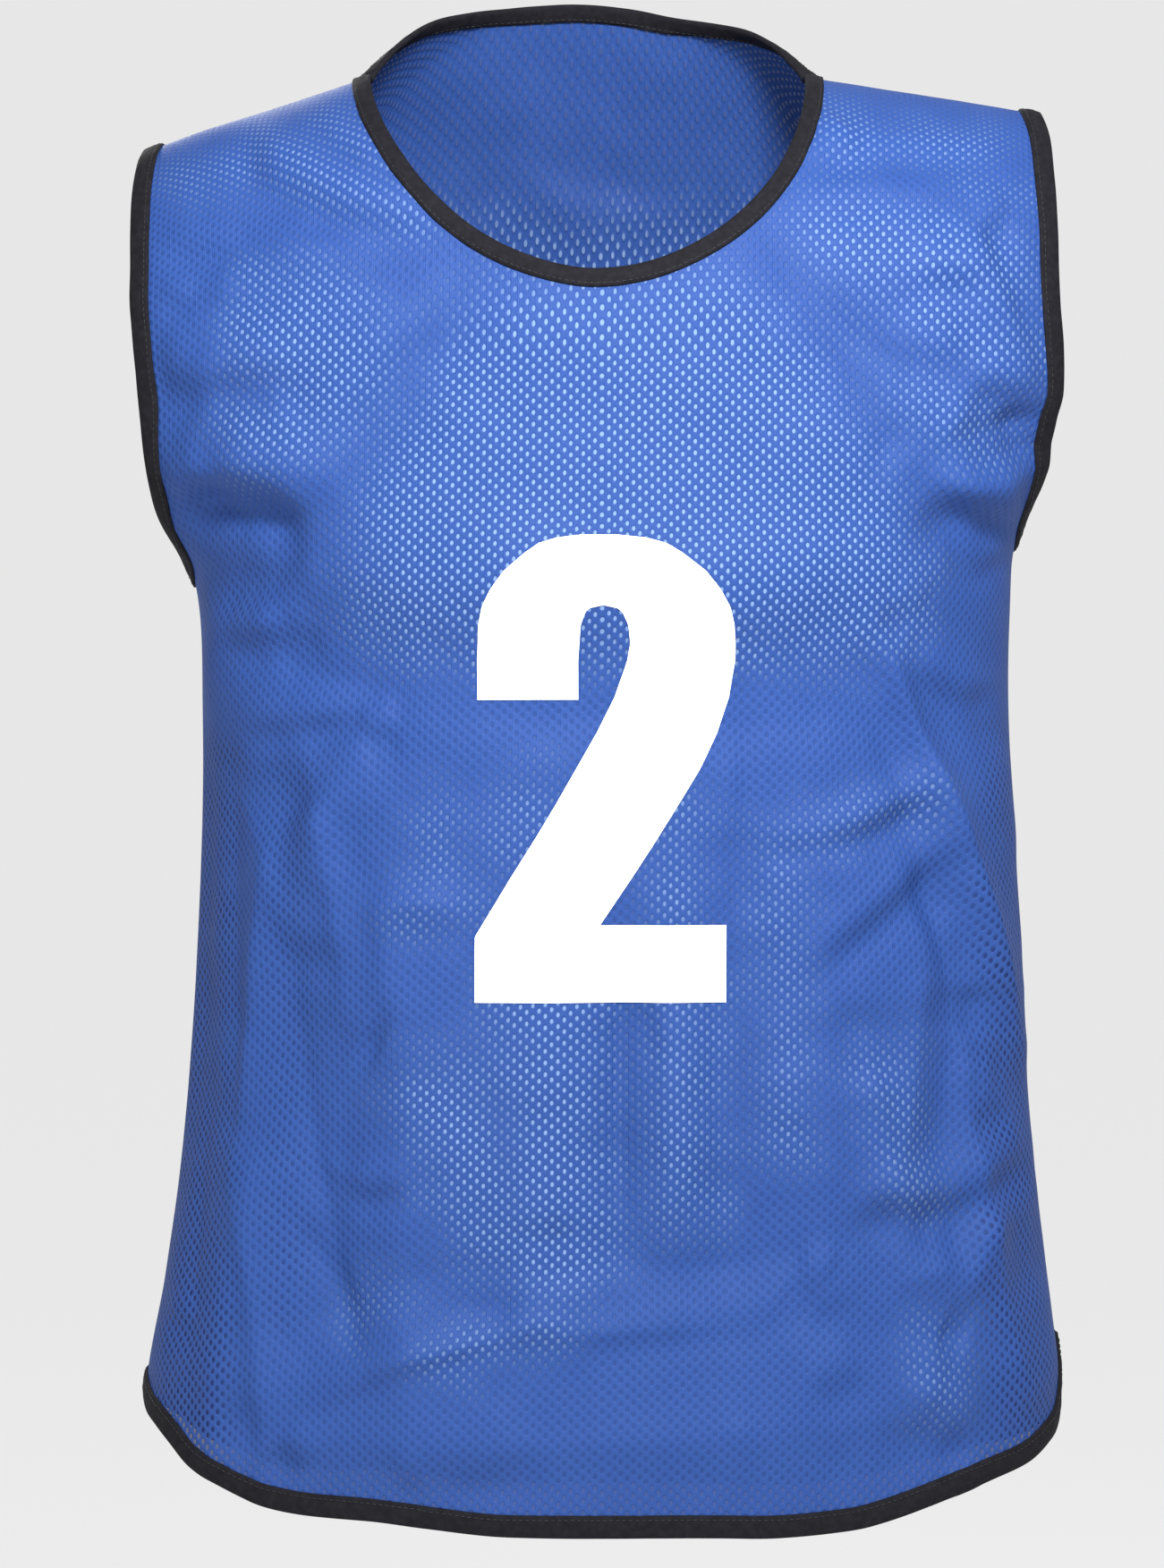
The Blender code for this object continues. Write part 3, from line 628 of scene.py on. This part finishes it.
def mesh_object(name, points, faces, finish, values):
    """A smooth mesh with its material and its named values at each point."""
    mesh = bpy.data.meshes.new(name)
    mesh.from_pydata(points.reshape(-1, 3).tolist(), [], faces.tolist())
    for key, value in values.items():
        kind, slot = ("FLOAT_VECTOR", "vector") if value.shape[-1:] == (3,) else ("FLOAT", "value")
        mesh.attributes.new(key, kind, "POINT").data.foreach_set(slot, value.ravel())
    mesh.materials.append(finish)
    mesh.shade_smooth()
    return add_object(name, mesh)


def add_node(tree, kind, *values, **settings):
    """Adds a shader node, sets or links its inputs in order, and returns it."""
    node = tree.nodes.new("ShaderNode" + kind)
    for key, value in settings.items():
        setattr(node, key, value)
    for socket, value in zip(node.inputs, values):
        if isinstance(value, bpy.types.NodeSocket):
            tree.links.new(value, socket)
        elif value is not None:
            socket.default_value = value
    return node


def maths(tree, operation, *values):
    return add_node(tree, "Math", *values, operation=operation).outputs[0]


def vector_maths(tree, operation, *values):
    node = add_node(tree, "VectorMath", *values, operation=operation)
    return node.outputs["Value" if operation == "LENGTH" else "Vector"]


def ramp(tree, value, start, end):
    """Goes smoothly from 0 at start to 1 at end."""
    return add_node(tree, "MapRange", value, start, end, 0.0, 1.0,
                    interpolation_type="SMOOTHSTEP").outputs[0]


def mix_colour(tree, share, one, two):
    node = add_node(tree, "Mix", share, data_type="RGBA")
    for place, value in zip(MIX_COLOURS, (one, two)):
        if isinstance(value, bpy.types.NodeSocket):
            tree.links.new(value, node.inputs[place])
        else:
            node.inputs[place].default_value = (*value, 1.0)
    return node.outputs[MIX_RESULT]


def point_value(tree, key):
    return add_node(tree, "Attribute", attribute_name=key)


def new_material(name, **settings):
    """A material whose even settings are set on the shader's own sockets."""
    finish = bpy.data.materials.new(name)
    finish.use_nodes = True
    shader = finish.node_tree.nodes["Principled BSDF"]
    for key, value in settings.items():
        shader.inputs[key.replace("_", " ")].default_value = value
    return finish, finish.node_tree, shader


def set_surface(tree, shader, colour, height, relief):
    """Links the colour and the fine relief to the shader."""
    bump = add_node(tree, "Bump", relief["strength"], relief["depth"])
    tree.links.new(height, bump.inputs["Height"])
    tree.links.new(bump.outputs["Normal"], shader.inputs["Normal"])
    tree.links.new(colour, shader.inputs["Base Color"])


def noise(tree, flat, settings):
    return add_node(tree, "TexNoise", flat, None, settings["scale"], settings["detail"]).outputs


def net_distance(tree, flat):
    """Distance to the nearest hole's centre, counted in half sizes of a hole."""
    parts = add_node(tree, "SeparateXYZ", flat).outputs
    rise = maths(tree, "MULTIPLY_ADD", parts["X"], -NET_SLOPE, parts["Y"])
    sloped = add_node(tree, "CombineXYZ", parts["X"], rise, 0.0).outputs[0]
    cells = vector_maths(tree, "MULTIPLY", sloped, (1 / NET_WIDTH, 1 / NET_HEIGHT, 0.0))
    distances = []
    for shift in (0.0, 0.5):
        moved = vector_maths(tree, "ADD", cells, (shift, shift, 0.5))
        inside = vector_maths(tree, "FRACTION", moved)
        centred = vector_maths(tree, "SUBTRACT", inside, (0.5, 0.5, 0.5))
        scaled = vector_maths(tree, "MULTIPLY", centred,
                              (NET_WIDTH / HOLE_HALF_WIDTH, NET_HEIGHT / HOLE_HALF_HEIGHT, 0.0))
        distances.append(vector_maths(tree, "LENGTH", scaled))
    return maths(tree, "MINIMUM", *distances)


def make_net_material():
    """Blue knitted net with two small upright holes in each cell of its pattern, holding painted
    light and shade.
    """
    finish, tree, shader = new_material("royal_blue_mesh", Roughness=0.60, IOR=1.22)
    flat = point_value(tree, "flat").outputs["Vector"]
    drift = vector_maths(tree, "SUBTRACT", noise(tree, flat, NET_WARP)["Color"], (0.5, 0.5, 0.5))
    drift = vector_maths(tree, "MULTIPLY", drift, (NET_WARP["amount"], NET_WARP["amount"], 0.0))
    distance = net_distance(tree, vector_maths(tree, "ADD", flat, drift))
    # painted shade: how far each hole is painted dark, which also makes it larger
    painted_shade_share = point_value(tree, "painted_shade_holes").outputs["Fac"]
    growth = maths(tree, "MULTIPLY_ADD", painted_shade_share, -HOLE_GROWTH, 1.0)
    distance = maths(tree, "MULTIPLY", distance, growth)
    hole = ramp(tree, distance, 1 + HOLE_EDGE, 1 - HOLE_EDGE)
    # painted light: how far each hole is painted pale
    pale = maths(tree, "MULTIPLY", hole, point_value(tree, "painted_light_holes").outputs["Fac"])
    dark = maths(tree, "MULTIPLY", hole, painted_shade_share)
    worn = ramp(tree, noise(tree, flat, BLOTCHES)["Fac"], BLOTCHES["start"], BLOTCHES["end"])
    colour = mix_colour(tree, worn, MESH_GROUND, MESH_WORN)
    # paints shade, then light, into the holes
    colour = mix_colour(tree, dark, colour, HOLE_PAINTED_SHADE)
    colour = mix_colour(tree, pale, colour, HOLE_PAINTED_LIGHT)
    clear = maths(tree, "MULTIPLY", dark, HOLE_CLEAR)
    tree.links.new(maths(tree, "SUBTRACT", 1.0, clear), shader.inputs["Alpha"])
    turns = vector_maths(tree, "MULTIPLY", flat, (2 * math.pi / THREAD_WIDTH, 0.0, 0.0))
    thread = maths(tree, "SINE", add_node(tree, "SeparateXYZ", turns).outputs["X"])
    dimple = ramp(tree, distance, NET_RELIEF["start"], NET_RELIEF["end"])
    height = maths(tree, "MULTIPLY_ADD", thread, THREAD_SHARE / 2, dimple)
    set_surface(tree, shader, colour, height, NET_RELIEF)
    return finish


def make_panel(panel, folds, pale, plain, dark, finish):
    """Builds a panel and returns it with its grid of points."""
    across, up = panel_spots(panel)
    points = cloth_places(panel, folds, across, up)
    x, z = points[..., 0], points[..., 2]
    round_length, height = flat_places(panel, across, up)
    # painted light in the holes of the pale patches, and painted shade in those of the dark strips
    # and, weaker, everywhere else
    painted_light_holes = patch_cover(pale, x, z) * (1 - patch_cover(plain, x, z))
    painted_shade_holes = np.maximum(PAINTED_SHADE_ELSEWHERE, patch_cover(dark, x, z))
    values = {"flat": np.stack([round_length, height, 0 * height], axis=-1),
              "painted_light_holes": painted_light_holes, "painted_shade_holes": painted_shade_holes}
    faces = grid_faces(WIDE_STEPS, TALL_STEPS, flipped=panel["face"] > 0)
    piece = mesh_object(panel["name"] + "_mesh", points, faces, finish, values)
    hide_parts(panel["name"])
    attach(piece, "root")
    return piece, points


net = make_net_material()
front_piece, front_points = make_panel(FRONT, FRONT_FOLDS, FRONT_PAINTED_LIGHT, FRONT_PAINTED_LIGHT_GAPS, FRONT_PAINTED_SHADE, net)


# Back panel: the second piece of the same mesh, cut like the front but with a shallow neck. It
# isn't seen in the photo but for its neck edge, so its creases are made like those in front.
BACK = {"name": "back_panel", "face": 1.0, "depth": 4, "lift": BACK_NECK_LIFT}

BACK_FOLDS = (
    # shoulder blades, which stand out over the waist
    (-150, -262, 150, -262, -14, 40, 0, 5.0),
    (-205, -190, -110, -165, 6, 20, 5.0, 1.8),
    (-200, -225, -120, -235, -5, 18, -6.0, 2.2),
    (110, -160, 200, -200, -5, 20, 5.0, -1.8),
    (120, -215, 195, -235, -5, 18, -6.0, 2.2),
    (-150, -60, -60, -110, -8, 18, -4.5, 1.4),
    (70, -100, 160, -55, -6, 18, -4.5, 1.4),
    (-40, -40, 45, -55, -10, 15, -3.0, 0.7),
    (-120, -130, -70, -225, 6, 14, -3.5, 0.8),
    (125, -120, 80, -215, -6, 14, -3.5, 0.8),
    # long soft creases from the shoulder blades to the hem
    (-96, -700, -88, -330, 5, 30, 6.0, 0),
    (-35, -610, -28, -360, -4, 24, -4.5, 0),
    (20, -640, 14, -300, 4, 16, 4.0, 0),
    (62, -600, 70, -340, 5, 22, -4.5, 0),
    (118, -690, 104, -350, -5, 28, 6.0, 0),
    (-160, -560, -150, -340, 4, 20, -4.5, 0),
    (168, -580, 160, -350, -4, 20, -4.5, 0),
    (-196, -690, -182, -420, 3, 14, 4.5, 0),
    (198, -680, 186, -430, -3, 14, 4.5, 0),
    # short creases at the armpits, the waist and above the hem
    (-190, -150, -140, -140, 3, 11, -3.0, 0.9),
    (150, -130, 205, -150, 3, 11, -3.0, 0.9),
    (-200, -262, -150, -275, 3, 11, 3.5, 1.2),
    (148, -270, 200, -250, 3, 11, 3.5, 1.2),
    (-165, -290, -95, -312, 4, 12, -3.5, 1.4),
    (100, -305, 180, -282, 4, 12, -3.5, 1.4),
    (-186, -330, -120, -400, 5, 12, 4.0, 1.0),
    (186, -320, 122, -405, -5, 12, 4.0, -1.0),
    (-110, -430, -50, -415, 3, 11, 3.0, 1.2),
    (40, -520, 110, -492, 3, 11, 3.0, 1.2),
    (-180, -520, -150, -600, 3, 12, 3.5, 0),
    (150, -480, 188, -560, 3, 12, -3.5, 0),
    (-95, -590, -40, -612, 3, 12, -3.0, 1.2),
    (-130, -660, 40, -640, 6, 12, 3.5, 1.0),
    (60, -655, 140, -668, -4, 12, 3.5, 1.0),
    (-40, -690, 60, -700, 3, 12, -2.5, 0.8),
)
# patches of painted light in the holes, lines without it, and strips of painted shade in the holes
BACK_PAINTED_LIGHT = (
    (-110, -110, 105, -105, 40, 0.9),
    (-95, -185, 90, -180, 45, 0.9),
    (-60, -250, 55, -245, 26, 0.7),
    (45, -400, 52, -520, 16, 0.6),
    (-70, -420, -62, -540, 14, 0.6),
)
BACK_PAINTED_LIGHT_GAPS = (
    (-150, -60, -60, -110, 10, 1.0),
    (70, -100, 160, -55, 10, 1.0),
)
BACK_PAINTED_SHADE = (
    (-210, -300, -212, -690, 30, 0.9),
    (210, -300, 213, -690, 30, 0.9),
)

back_piece, back_points = make_panel(BACK, BACK_FOLDS, BACK_PAINTED_LIGHT, BACK_PAINTED_LIGHT_GAPS, BACK_PAINTED_SHADE, net)


# Number: a plain white film numeral 2, heat-pressed on the front of the chest. It is 0.2 mm thick
# and bends with the cloth, whose net shows faintly through it as small dimples.
NUMBER_LIFT = 0.0005
NUMBER_TOP = -0.2399
NUMBER_ROW = 0.0015
NUMBER_COLUMNS = 24
FILM_WHITE = (0.86, 0.87, 0.88)
FILM_CLOUDS = {"scale": 60.0, "detail": 2.0, "darker": 0.97}
FILM_RELIEF = {"start": 0.6, "end": 1.6, "strength": 0.6, "depth": 0.00012}

# millimetres below the numeral's top: left and right edges (x) of each of its strokes
NUMBER_CAP = (
    (0.0, -9.7, 6.8), (1.5, -22.0, 21.0), (4.0, -30.5, 31.0), (8.9, -37.6, 39.2),
    (17.8, -47.9, 50.7), (26.6, -54.5, 57.8), (34.6, -58.6, 62.4),
)
NUMBER_TERMINAL = (
    (34.6, -58.6, 0.6), (35.6, -59.0, -5.6), (38.0, -59.6, -8.2), (44.4, -61.1, -10.6),
    (62.2, -62.4, -11.9), (81.3, -62.5, -11.9),
)
NUMBER_STROKE = (
    (34.6, 0.6, 62.4), (35.6, 6.8, 62.9), (38.0, 10.0, 63.6), (44.4, 13.0, 65.4),
    (53.3, 14.0, 66.5), (62.2, 12.5, 66.7), (79.9, 6.3, 64.0), (97.7, -2.6, 57.8),
    (115.4, -12.8, 48.9), (133.2, -23.0, 37.8), (151.0, -33.7, 26.7), (168.7, -44.8, 15.2),
    (186.5, -55.4, 3.2), (192.7, -59.1, -1.0),
)
NUMBER_BASE = ((192.7, -59.1, 61.8), (198.3, -62.5, 61.8), (230.9, -62.5, 61.8))


def stroke_mesh(rows):
    """A strip of the film between the two edges of one stroke, laid on the front panel."""
    count = max(2, round((rows[-1][0] - rows[0][0]) / 1000 / NUMBER_ROW))
    down = np.linspace(rows[0][0], rows[-1][0], count + 1)
    table = np.array(rows)
    left = np.interp(down, table[:, 0], table[:, 1]) / 1000
    right = np.interp(down, table[:, 0], table[:, 2]) / 1000
    share = np.linspace(0.0, 1.0, NUMBER_COLUMNS + 1)[None, :]
    x = left[:, None] * (1 - share) + right[:, None] * share
    up = (NUMBER_TOP - down / 1000)[:, None] + 0 * share
    across = across_of(x, up)
    points = cloth_places(FRONT, FRONT_FOLDS, across, up)
    points += smooth_normal(FRONT, across, up) * NUMBER_LIFT
    flat = np.stack([*flat_places(FRONT, across, up), 0 * up], axis=-1)
    return points, flat, grid_faces(count, NUMBER_COLUMNS, flipped=True)


def make_film_material():
    finish, tree, shader = new_material("white_film", Roughness=0.42, Specular_IOR_Level=0.45)
    flat = point_value(tree, "flat").outputs["Vector"]
    darker = tuple(FILM_CLOUDS["darker"] * part for part in FILM_WHITE)
    colour = mix_colour(tree, noise(tree, flat, FILM_CLOUDS)["Fac"], FILM_WHITE, darker)
    height = ramp(tree, net_distance(tree, flat), FILM_RELIEF["start"], FILM_RELIEF["end"])
    set_surface(tree, shader, colour, height, FILM_RELIEF)
    return finish


parts = [stroke_mesh(rows) for rows in (NUMBER_CAP, NUMBER_TERMINAL, NUMBER_STROKE, NUMBER_BASE)]
starts = np.cumsum([0] + [part[0].size // 3 for part in parts])
number_points = np.concatenate([part[0].reshape(-1, 3) for part in parts])
number_flat = np.concatenate([part[1].reshape(-1, 3) for part in parts])
number_faces = np.concatenate([part[2] + start for part, start in zip(parts, starts)])
number = mesh_object("chest_number", number_points, number_faces, make_film_material(),
                     {"flat": number_flat})
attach(number, "root")


# Neck binding: one strip of black woven polyester tape, folded over the cut edge and sewn through
# both leaves, closed to a ring at the left shoulder seam.
TAPE_WIDTH = 0.010
NECK_TAPE_WIDTH = 0.0082
TAPE_SMOOTHING = 6
TAPE_RIPPLE = {"size": 0.012, "height": 0.00016, "seed": 5}
RIPPLE_SHIFT = 0.025
RIPPLE_START = 0.001
TAPE_BLACK = (0.004, 0.0038, 0.0055)
TAPE_GREY = (0.009, 0.0085, 0.0115)
TAPE_RIB = 0.0008
TAPE_FUZZ = {"scale": 260.0, "detail": 3.0}
TAPE_SHADES = {"weave": 0.25, "start": 0.3, "end": 0.8}
TAPE_RELIEF = {"weave": 0.5, "strength": 0.5, "depth": 0.00012}
# rows of the cloth's grid from its edge to where a tape's directions are read
INNER_ROW = 3
# share of the tape's width in from the cloth's edge, and height off the cloth in metres
TAPE_LEAF = (
    (1.02, 0.0002), (1.00, 0.0009), (0.94, 0.0014), (0.80, 0.0016), (0.55, 0.0019),
    (0.30, 0.0018), (0.08, 0.0016),
)
# out past the cloth's edge and height off its middle, in metres
TAPE_FOLD = ((0.0007, 0.0013), (0.0012, 0.0007))
TAPE_FOLD_END = 0.0014

cloth_faces = grid_faces(WIDE_STEPS, TALL_STEPS)
front_flat_points = front_points.reshape(-1, 3)
cloth_tree = BVHTree.FromPolygons(
    np.concatenate([front_flat_points, back_points.reshape(-1, 3)]).tolist(),
    np.concatenate([cloth_faces, cloth_faces[:, ::-1] + len(front_flat_points)]).tolist())


def evened(vectors, closed):
    """Each direction averaged a few times with its neighbours."""
    for _ in range(TAPE_SMOOTHING):
        if closed:
            around = np.roll(vectors, 1, axis=0) + np.roll(vectors, -1, axis=0)
        else:
            around = np.concatenate([vectors[:1], vectors[:-1]])
            around = around + np.concatenate([vectors[1:], vectors[-1:]])
        vectors = unit(2 * vectors + around)
    return vectors


def edge_frame(edge, inner, closed):
    """Directions at each point of an edge: into the cloth, and out of its surface."""
    if closed:
        run = np.roll(edge, -1, axis=0) - np.roll(edge, 1, axis=0)
    else:
        run = np.gradient(edge, axis=0)
    run = unit(run)
    normal = np.array([cloth_tree.find_nearest(Vector(point))[1] for point in inner])
    inward = inner - edge
    inward = inward - run * np.sum(inward * run, axis=1, keepdims=True)
    inward = inward - normal * np.sum(inward * normal, axis=1, keepdims=True)
    return evened(unit(inward), closed), evened(unit(normal), closed)


def on_cloth(places, height):
    """Moves places to the nearest cloth and then off it by a height."""
    moved = []
    for place, lift in zip(places, height):
        spot, normal, _, _ = cloth_tree.find_nearest(Vector(place))
        moved.append(spot + normal * lift)
    return np.array(moved)


def tape_sections(edge, inner, closed, width):
    """Rows of points across the folded tape, one row for each point of the edge."""
    inward, normal = edge_frame(edge, inner, closed)
    along = lengths_along(edge)
    columns = []
    for side in (1, -1):
        leaf = []
        for share, height in TAPE_LEAF:
            ripple = wobble(along, 0 * along + side + share * RIPPLE_SHIFT, **TAPE_RIPPLE)
            lift = side * (height + min(1.0, height / RIPPLE_START) * ripple)
            leaf.append(on_cloth(edge + inward * width * share, lift))
        for out, height in TAPE_FOLD:
            leaf.append(edge - inward * out + normal * side * height)
        columns.append(leaf)
    middle = edge - inward * TAPE_FOLD_END
    return np.stack(columns[0] + [middle] + columns[1][::-1], axis=1)


def make_tape_material():
    """Matt black tape with a fine slanting weave."""
    finish, tree, shader = new_material("black_tape", Roughness=0.80, Specular_IOR_Level=0.10)
    flat = point_value(tree, "flat").outputs["Vector"]
    turns = vector_maths(tree, "MULTIPLY", flat, (2 * math.pi / TAPE_RIB, math.pi / TAPE_RIB, 0.0))
    parts = add_node(tree, "SeparateXYZ", turns)
    rib = maths(tree, "SINE", maths(tree, "ADD", parts.outputs["X"], parts.outputs["Y"]))
    cross = maths(tree, "SINE", maths(tree, "SUBTRACT", parts.outputs["X"], parts.outputs["Y"]))
    weave = maths(tree, "MULTIPLY", rib, cross)
    fuzz = noise(tree, flat, TAPE_FUZZ)["Fac"]
    share = maths(tree, "MULTIPLY_ADD", weave, TAPE_SHADES["weave"], fuzz)
    share = ramp(tree, share, TAPE_SHADES["start"], TAPE_SHADES["end"])
    height = maths(tree, "MULTIPLY_ADD", weave, TAPE_RELIEF["weave"], fuzz)
    set_surface(tree, shader, mix_colour(tree, share, TAPE_BLACK, TAPE_GREY), height, TAPE_RELIEF)
    return finish


def make_tape(node, edge, inner, closed, width, finish):
    """Builds the folded tape along an edge, which starts and ends on one spot if it is closed."""
    rows = tape_sections(edge, inner, closed, width)
    if closed:
        rows, edge = np.concatenate([rows, rows[:1]]), np.concatenate([edge, edge[:1]])
    along = lengths_along(edge)
    spans = np.linalg.norm(np.diff(rows, axis=1), axis=2)
    aside = np.concatenate([np.zeros((len(rows), 1)), np.cumsum(spans, axis=1)], axis=1)
    flat = np.stack([along[:, None] + 0 * aside, aside, 0 * aside], axis=-1)
    faces = grid_faces(len(rows) - 1, rows.shape[1] - 1)
    piece = mesh_object(node + "_tape", rows, faces, finish, {"flat": flat})
    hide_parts(node)
    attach(piece, "root")
    return piece, rows


def ring(front_edge, back_edge):
    """The front edge followed by the back edge, without its two shared ends."""
    return np.concatenate([front_edge, back_edge[::-1][1:-1]])


tape = make_tape_material()
neck = slice(SHOULDER_STEPS, WIDE_STEPS - SHOULDER_STEPS + 1)
neck_edge = ring(front_points[neck, -1], back_points[neck, -1])
neck_inner = ring(front_points[neck, -1 - INNER_ROW], back_points[neck, -1 - INNER_ROW])
neck_tape, neck_rows = make_tape("neck_binding", neck_edge, neck_inner, True, NECK_TAPE_WIDTH,
                                 tape)


# Armhole bindings: one strip of the same tape round each armhole, folded and sewn like that of
# the neck, and closed to a ring at the armpit.
arm = slice(SEAM_STEPS, TALL_STEPS + 1)
arm_tapes, arm_rows = [], []
for node, column, inside in (("armhole_binding_left", 0, INNER_ROW),
                             ("armhole_binding_right", -1, -1 - INNER_ROW)):
    arm_edge = ring(front_points[column, arm], back_points[column, arm])
    arm_inner = ring(front_points[inside, arm], back_points[inside, arm])
    arm_tape, rows = make_tape(node, arm_edge, arm_inner, True, TAPE_WIDTH, tape)
    arm_tapes.append(arm_tape)
    arm_rows.append(rows)


# Hem bindings: a strip of the same tape along the rounded hem of each panel, folded and sewn like
# the others. Each ends at the side seams.
hem_tapes, hem_rows = [], []
for node, points in (("hem_binding_front", front_points), ("hem_binding_back", back_points)):
    hem_tape, rows = make_tape(node, points[:, 0], points[:, INNER_ROW], False, TAPE_WIDTH, tape)
    hem_tapes.append(hem_tape)
    hem_rows.append(rows)


# Stitches: black polyester thread that holds the bindings, in one row near the leaf's edge on the
# outside and one on the inside, sewn by a lockstitch machine at about 3 stitches a centimetre.
STITCH_PITCH = 0.0032
STITCH_LENGTH = 0.0025
STITCH_RADIUS = 0.00032
STITCH_SINK = 0.0001
STITCH_SIDES = 6
THREAD_BLACK = (0.008, 0.008, 0.010)
# the stitches run along this point of TAPE_LEAF, counted from 0
STITCH_POINT = 3
# share of the stitch's length from its middle, share of its radius
STITCH_PROFILE = ((-0.5, 0.05), (-0.42, 0.7), (-0.2, 1.0), (0.2, 1.0), (0.42, 0.7), (0.5, 0.05))


def read_line(places, lengths, line):
    """Points or directions at lengths along a line."""
    return np.stack([np.interp(places, lengths, line[:, k]) for k in range(3)], axis=1)


def stitch_row(line, normals):
    """Small rounded stitches laid end to end along a line."""
    lengths = lengths_along(line)
    places = np.arange(STITCH_PITCH, lengths[-1] - STITCH_PITCH, STITCH_PITCH)
    centres = read_line(places, lengths, line)
    out = unit(read_line(places, lengths, normals))
    run = unit(read_line(places + STEP, lengths, line) - centres)
    beside = unit(np.cross(out, run))
    centres = centres - out * STITCH_SINK
    vertices, faces = [], []
    for share, thickness in STITCH_PROFILE:
        for side in range(STITCH_SIDES):
            turn = 2 * math.pi * side / STITCH_SIDES
            vertices.append(centres + run * share * STITCH_LENGTH
                            + (out * math.cos(turn) + beside * math.sin(turn))
                            * thickness * STITCH_RADIUS)
    for k in range(len(STITCH_PROFILE) - 1):
        for side in range(STITCH_SIDES):
            after = (side + 1) % STITCH_SIDES
            faces.append((k * STITCH_SIDES + side, k * STITCH_SIDES + after,
                          (k + 1) * STITCH_SIDES + after, (k + 1) * STITCH_SIDES + side))
    vertices = np.stack(vertices, axis=1)
    count = vertices.shape[1]
    faces = np.array(faces)[None] + (np.arange(len(centres)) * count)[:, None, None]
    return vertices.reshape(-1, 3), faces.reshape(-1, 4)


def leaf_line(rows, side):
    """The line of a leaf's stitches, and the directions out of the tape there."""
    leaf = STITCH_POINT if side > 0 else rows.shape[1] - 1 - STITCH_POINT
    toward = leaf + 1 if side > 0 else leaf - 1
    across = rows[:, toward] - rows[:, leaf]
    run = np.gradient(rows[:, leaf], axis=0)
    out = unit(np.cross(run, across))
    return rows[:, leaf], out * side


thread = new_material("black_thread", Base_Color=(*THREAD_BLACK, 1.0), Roughness=0.6,
                      Specular_IOR_Level=0.25)[0]
stitch_points, stitch_faces, stitched = [], [], 0
for rows in [neck_rows, *arm_rows, *hem_rows]:
    for side in (1, -1):
        vertices, faces = stitch_row(*leaf_line(rows, side))
        stitch_points.append(vertices)
        stitch_faces.append(faces + stitched)
        stitched += len(vertices)
stitches = mesh_object("binding_stitches", np.concatenate(stitch_points),
                       np.concatenate(stitch_faces), thread, {})
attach(stitches, "root")


# Floor, light and camera: a plain pale floor well below the hem, even pale surroundings and soft
# lamps in front, at both sides and behind, the strongest one in front and above. The camera looks
# straight at the front.
FLOOR_HEIGHT = -1.30
FLOOR_SIZE = 40.0
FLOOR_COLOUR = (1.0, 1.0, 1.0)
SKY_STRENGTH = 0.80
CAMERA_PLACE = (-0.0099, -3.0, -0.3627)
FRAME_HEIGHT = 0.8064
SENSOR = 36.0
# place, width and height in metres, watts
LAMPS = (
    ((0.20, -1.15, 0.50), 0.3, 0.3, 44.0),
    ((-0.30, -1.30, -0.75), 0.4, 0.4, 4.0),
    ((-1.40, -0.60, -0.45), 0.6, 0.6, 3.5),
    ((1.40, -0.60, -0.60), 0.6, 0.6, 1.5),
    ((-0.60, 1.50, 0.60), 0.6, 0.6, 14.0),
)
LAMP_AIM = Vector((0.0, 0.0, -0.30))

pale_floor = new_material("pale_floor", Base_Color=(*FLOOR_COLOUR, 1.0), Roughness=0.9,
                          Specular_IOR_Level=0.0)[0]
corners = np.array([(x * FLOOR_SIZE / 2, y * FLOOR_SIZE / 2, FLOOR_HEIGHT)
                    for x, y in ((-1, -1), (1, -1), (1, 1), (-1, 1))])
floor = mesh_object("floor", corners, np.array([(0, 1, 2, 3)]), pale_floor, {})

sky = bpy.data.worlds.new("pale_surroundings")
sky.use_nodes = True
sky.node_tree.nodes["Background"].inputs["Color"].default_value = (1.0, 1.0, 1.0, 1.0)
sky.node_tree.nodes["Background"].inputs["Strength"].default_value = SKY_STRENGTH
bpy.context.scene.world = sky
bpy.context.scene.view_settings.view_transform = "Standard"

for number_of_lamp, (place, width, height, watts) in enumerate(LAMPS):
    lamp_data = bpy.data.lights.new(f"lamp_{number_of_lamp}", "AREA")
    lamp_data.shape = "RECTANGLE"
    lamp_data.size, lamp_data.size_y = width, height
    lamp_data.energy = watts
    lamp = add_object(f"lamp_{number_of_lamp}", lamp_data)
    lamp.location = place
    lamp.rotation_euler = (LAMP_AIM - Vector(place)).to_track_quat("-Z", "Y").to_euler()

camera_data = bpy.data.cameras.new("camera")
camera_data.sensor_width = SENSOR
camera_data.lens = SENSOR * -CAMERA_PLACE[1] / FRAME_HEIGHT
camera = add_object("camera", camera_data)
camera.location = CAMERA_PLACE
camera.rotation_euler = (math.pi / 2, 0.0, 0.0)
bpy.context.scene.camera = camera
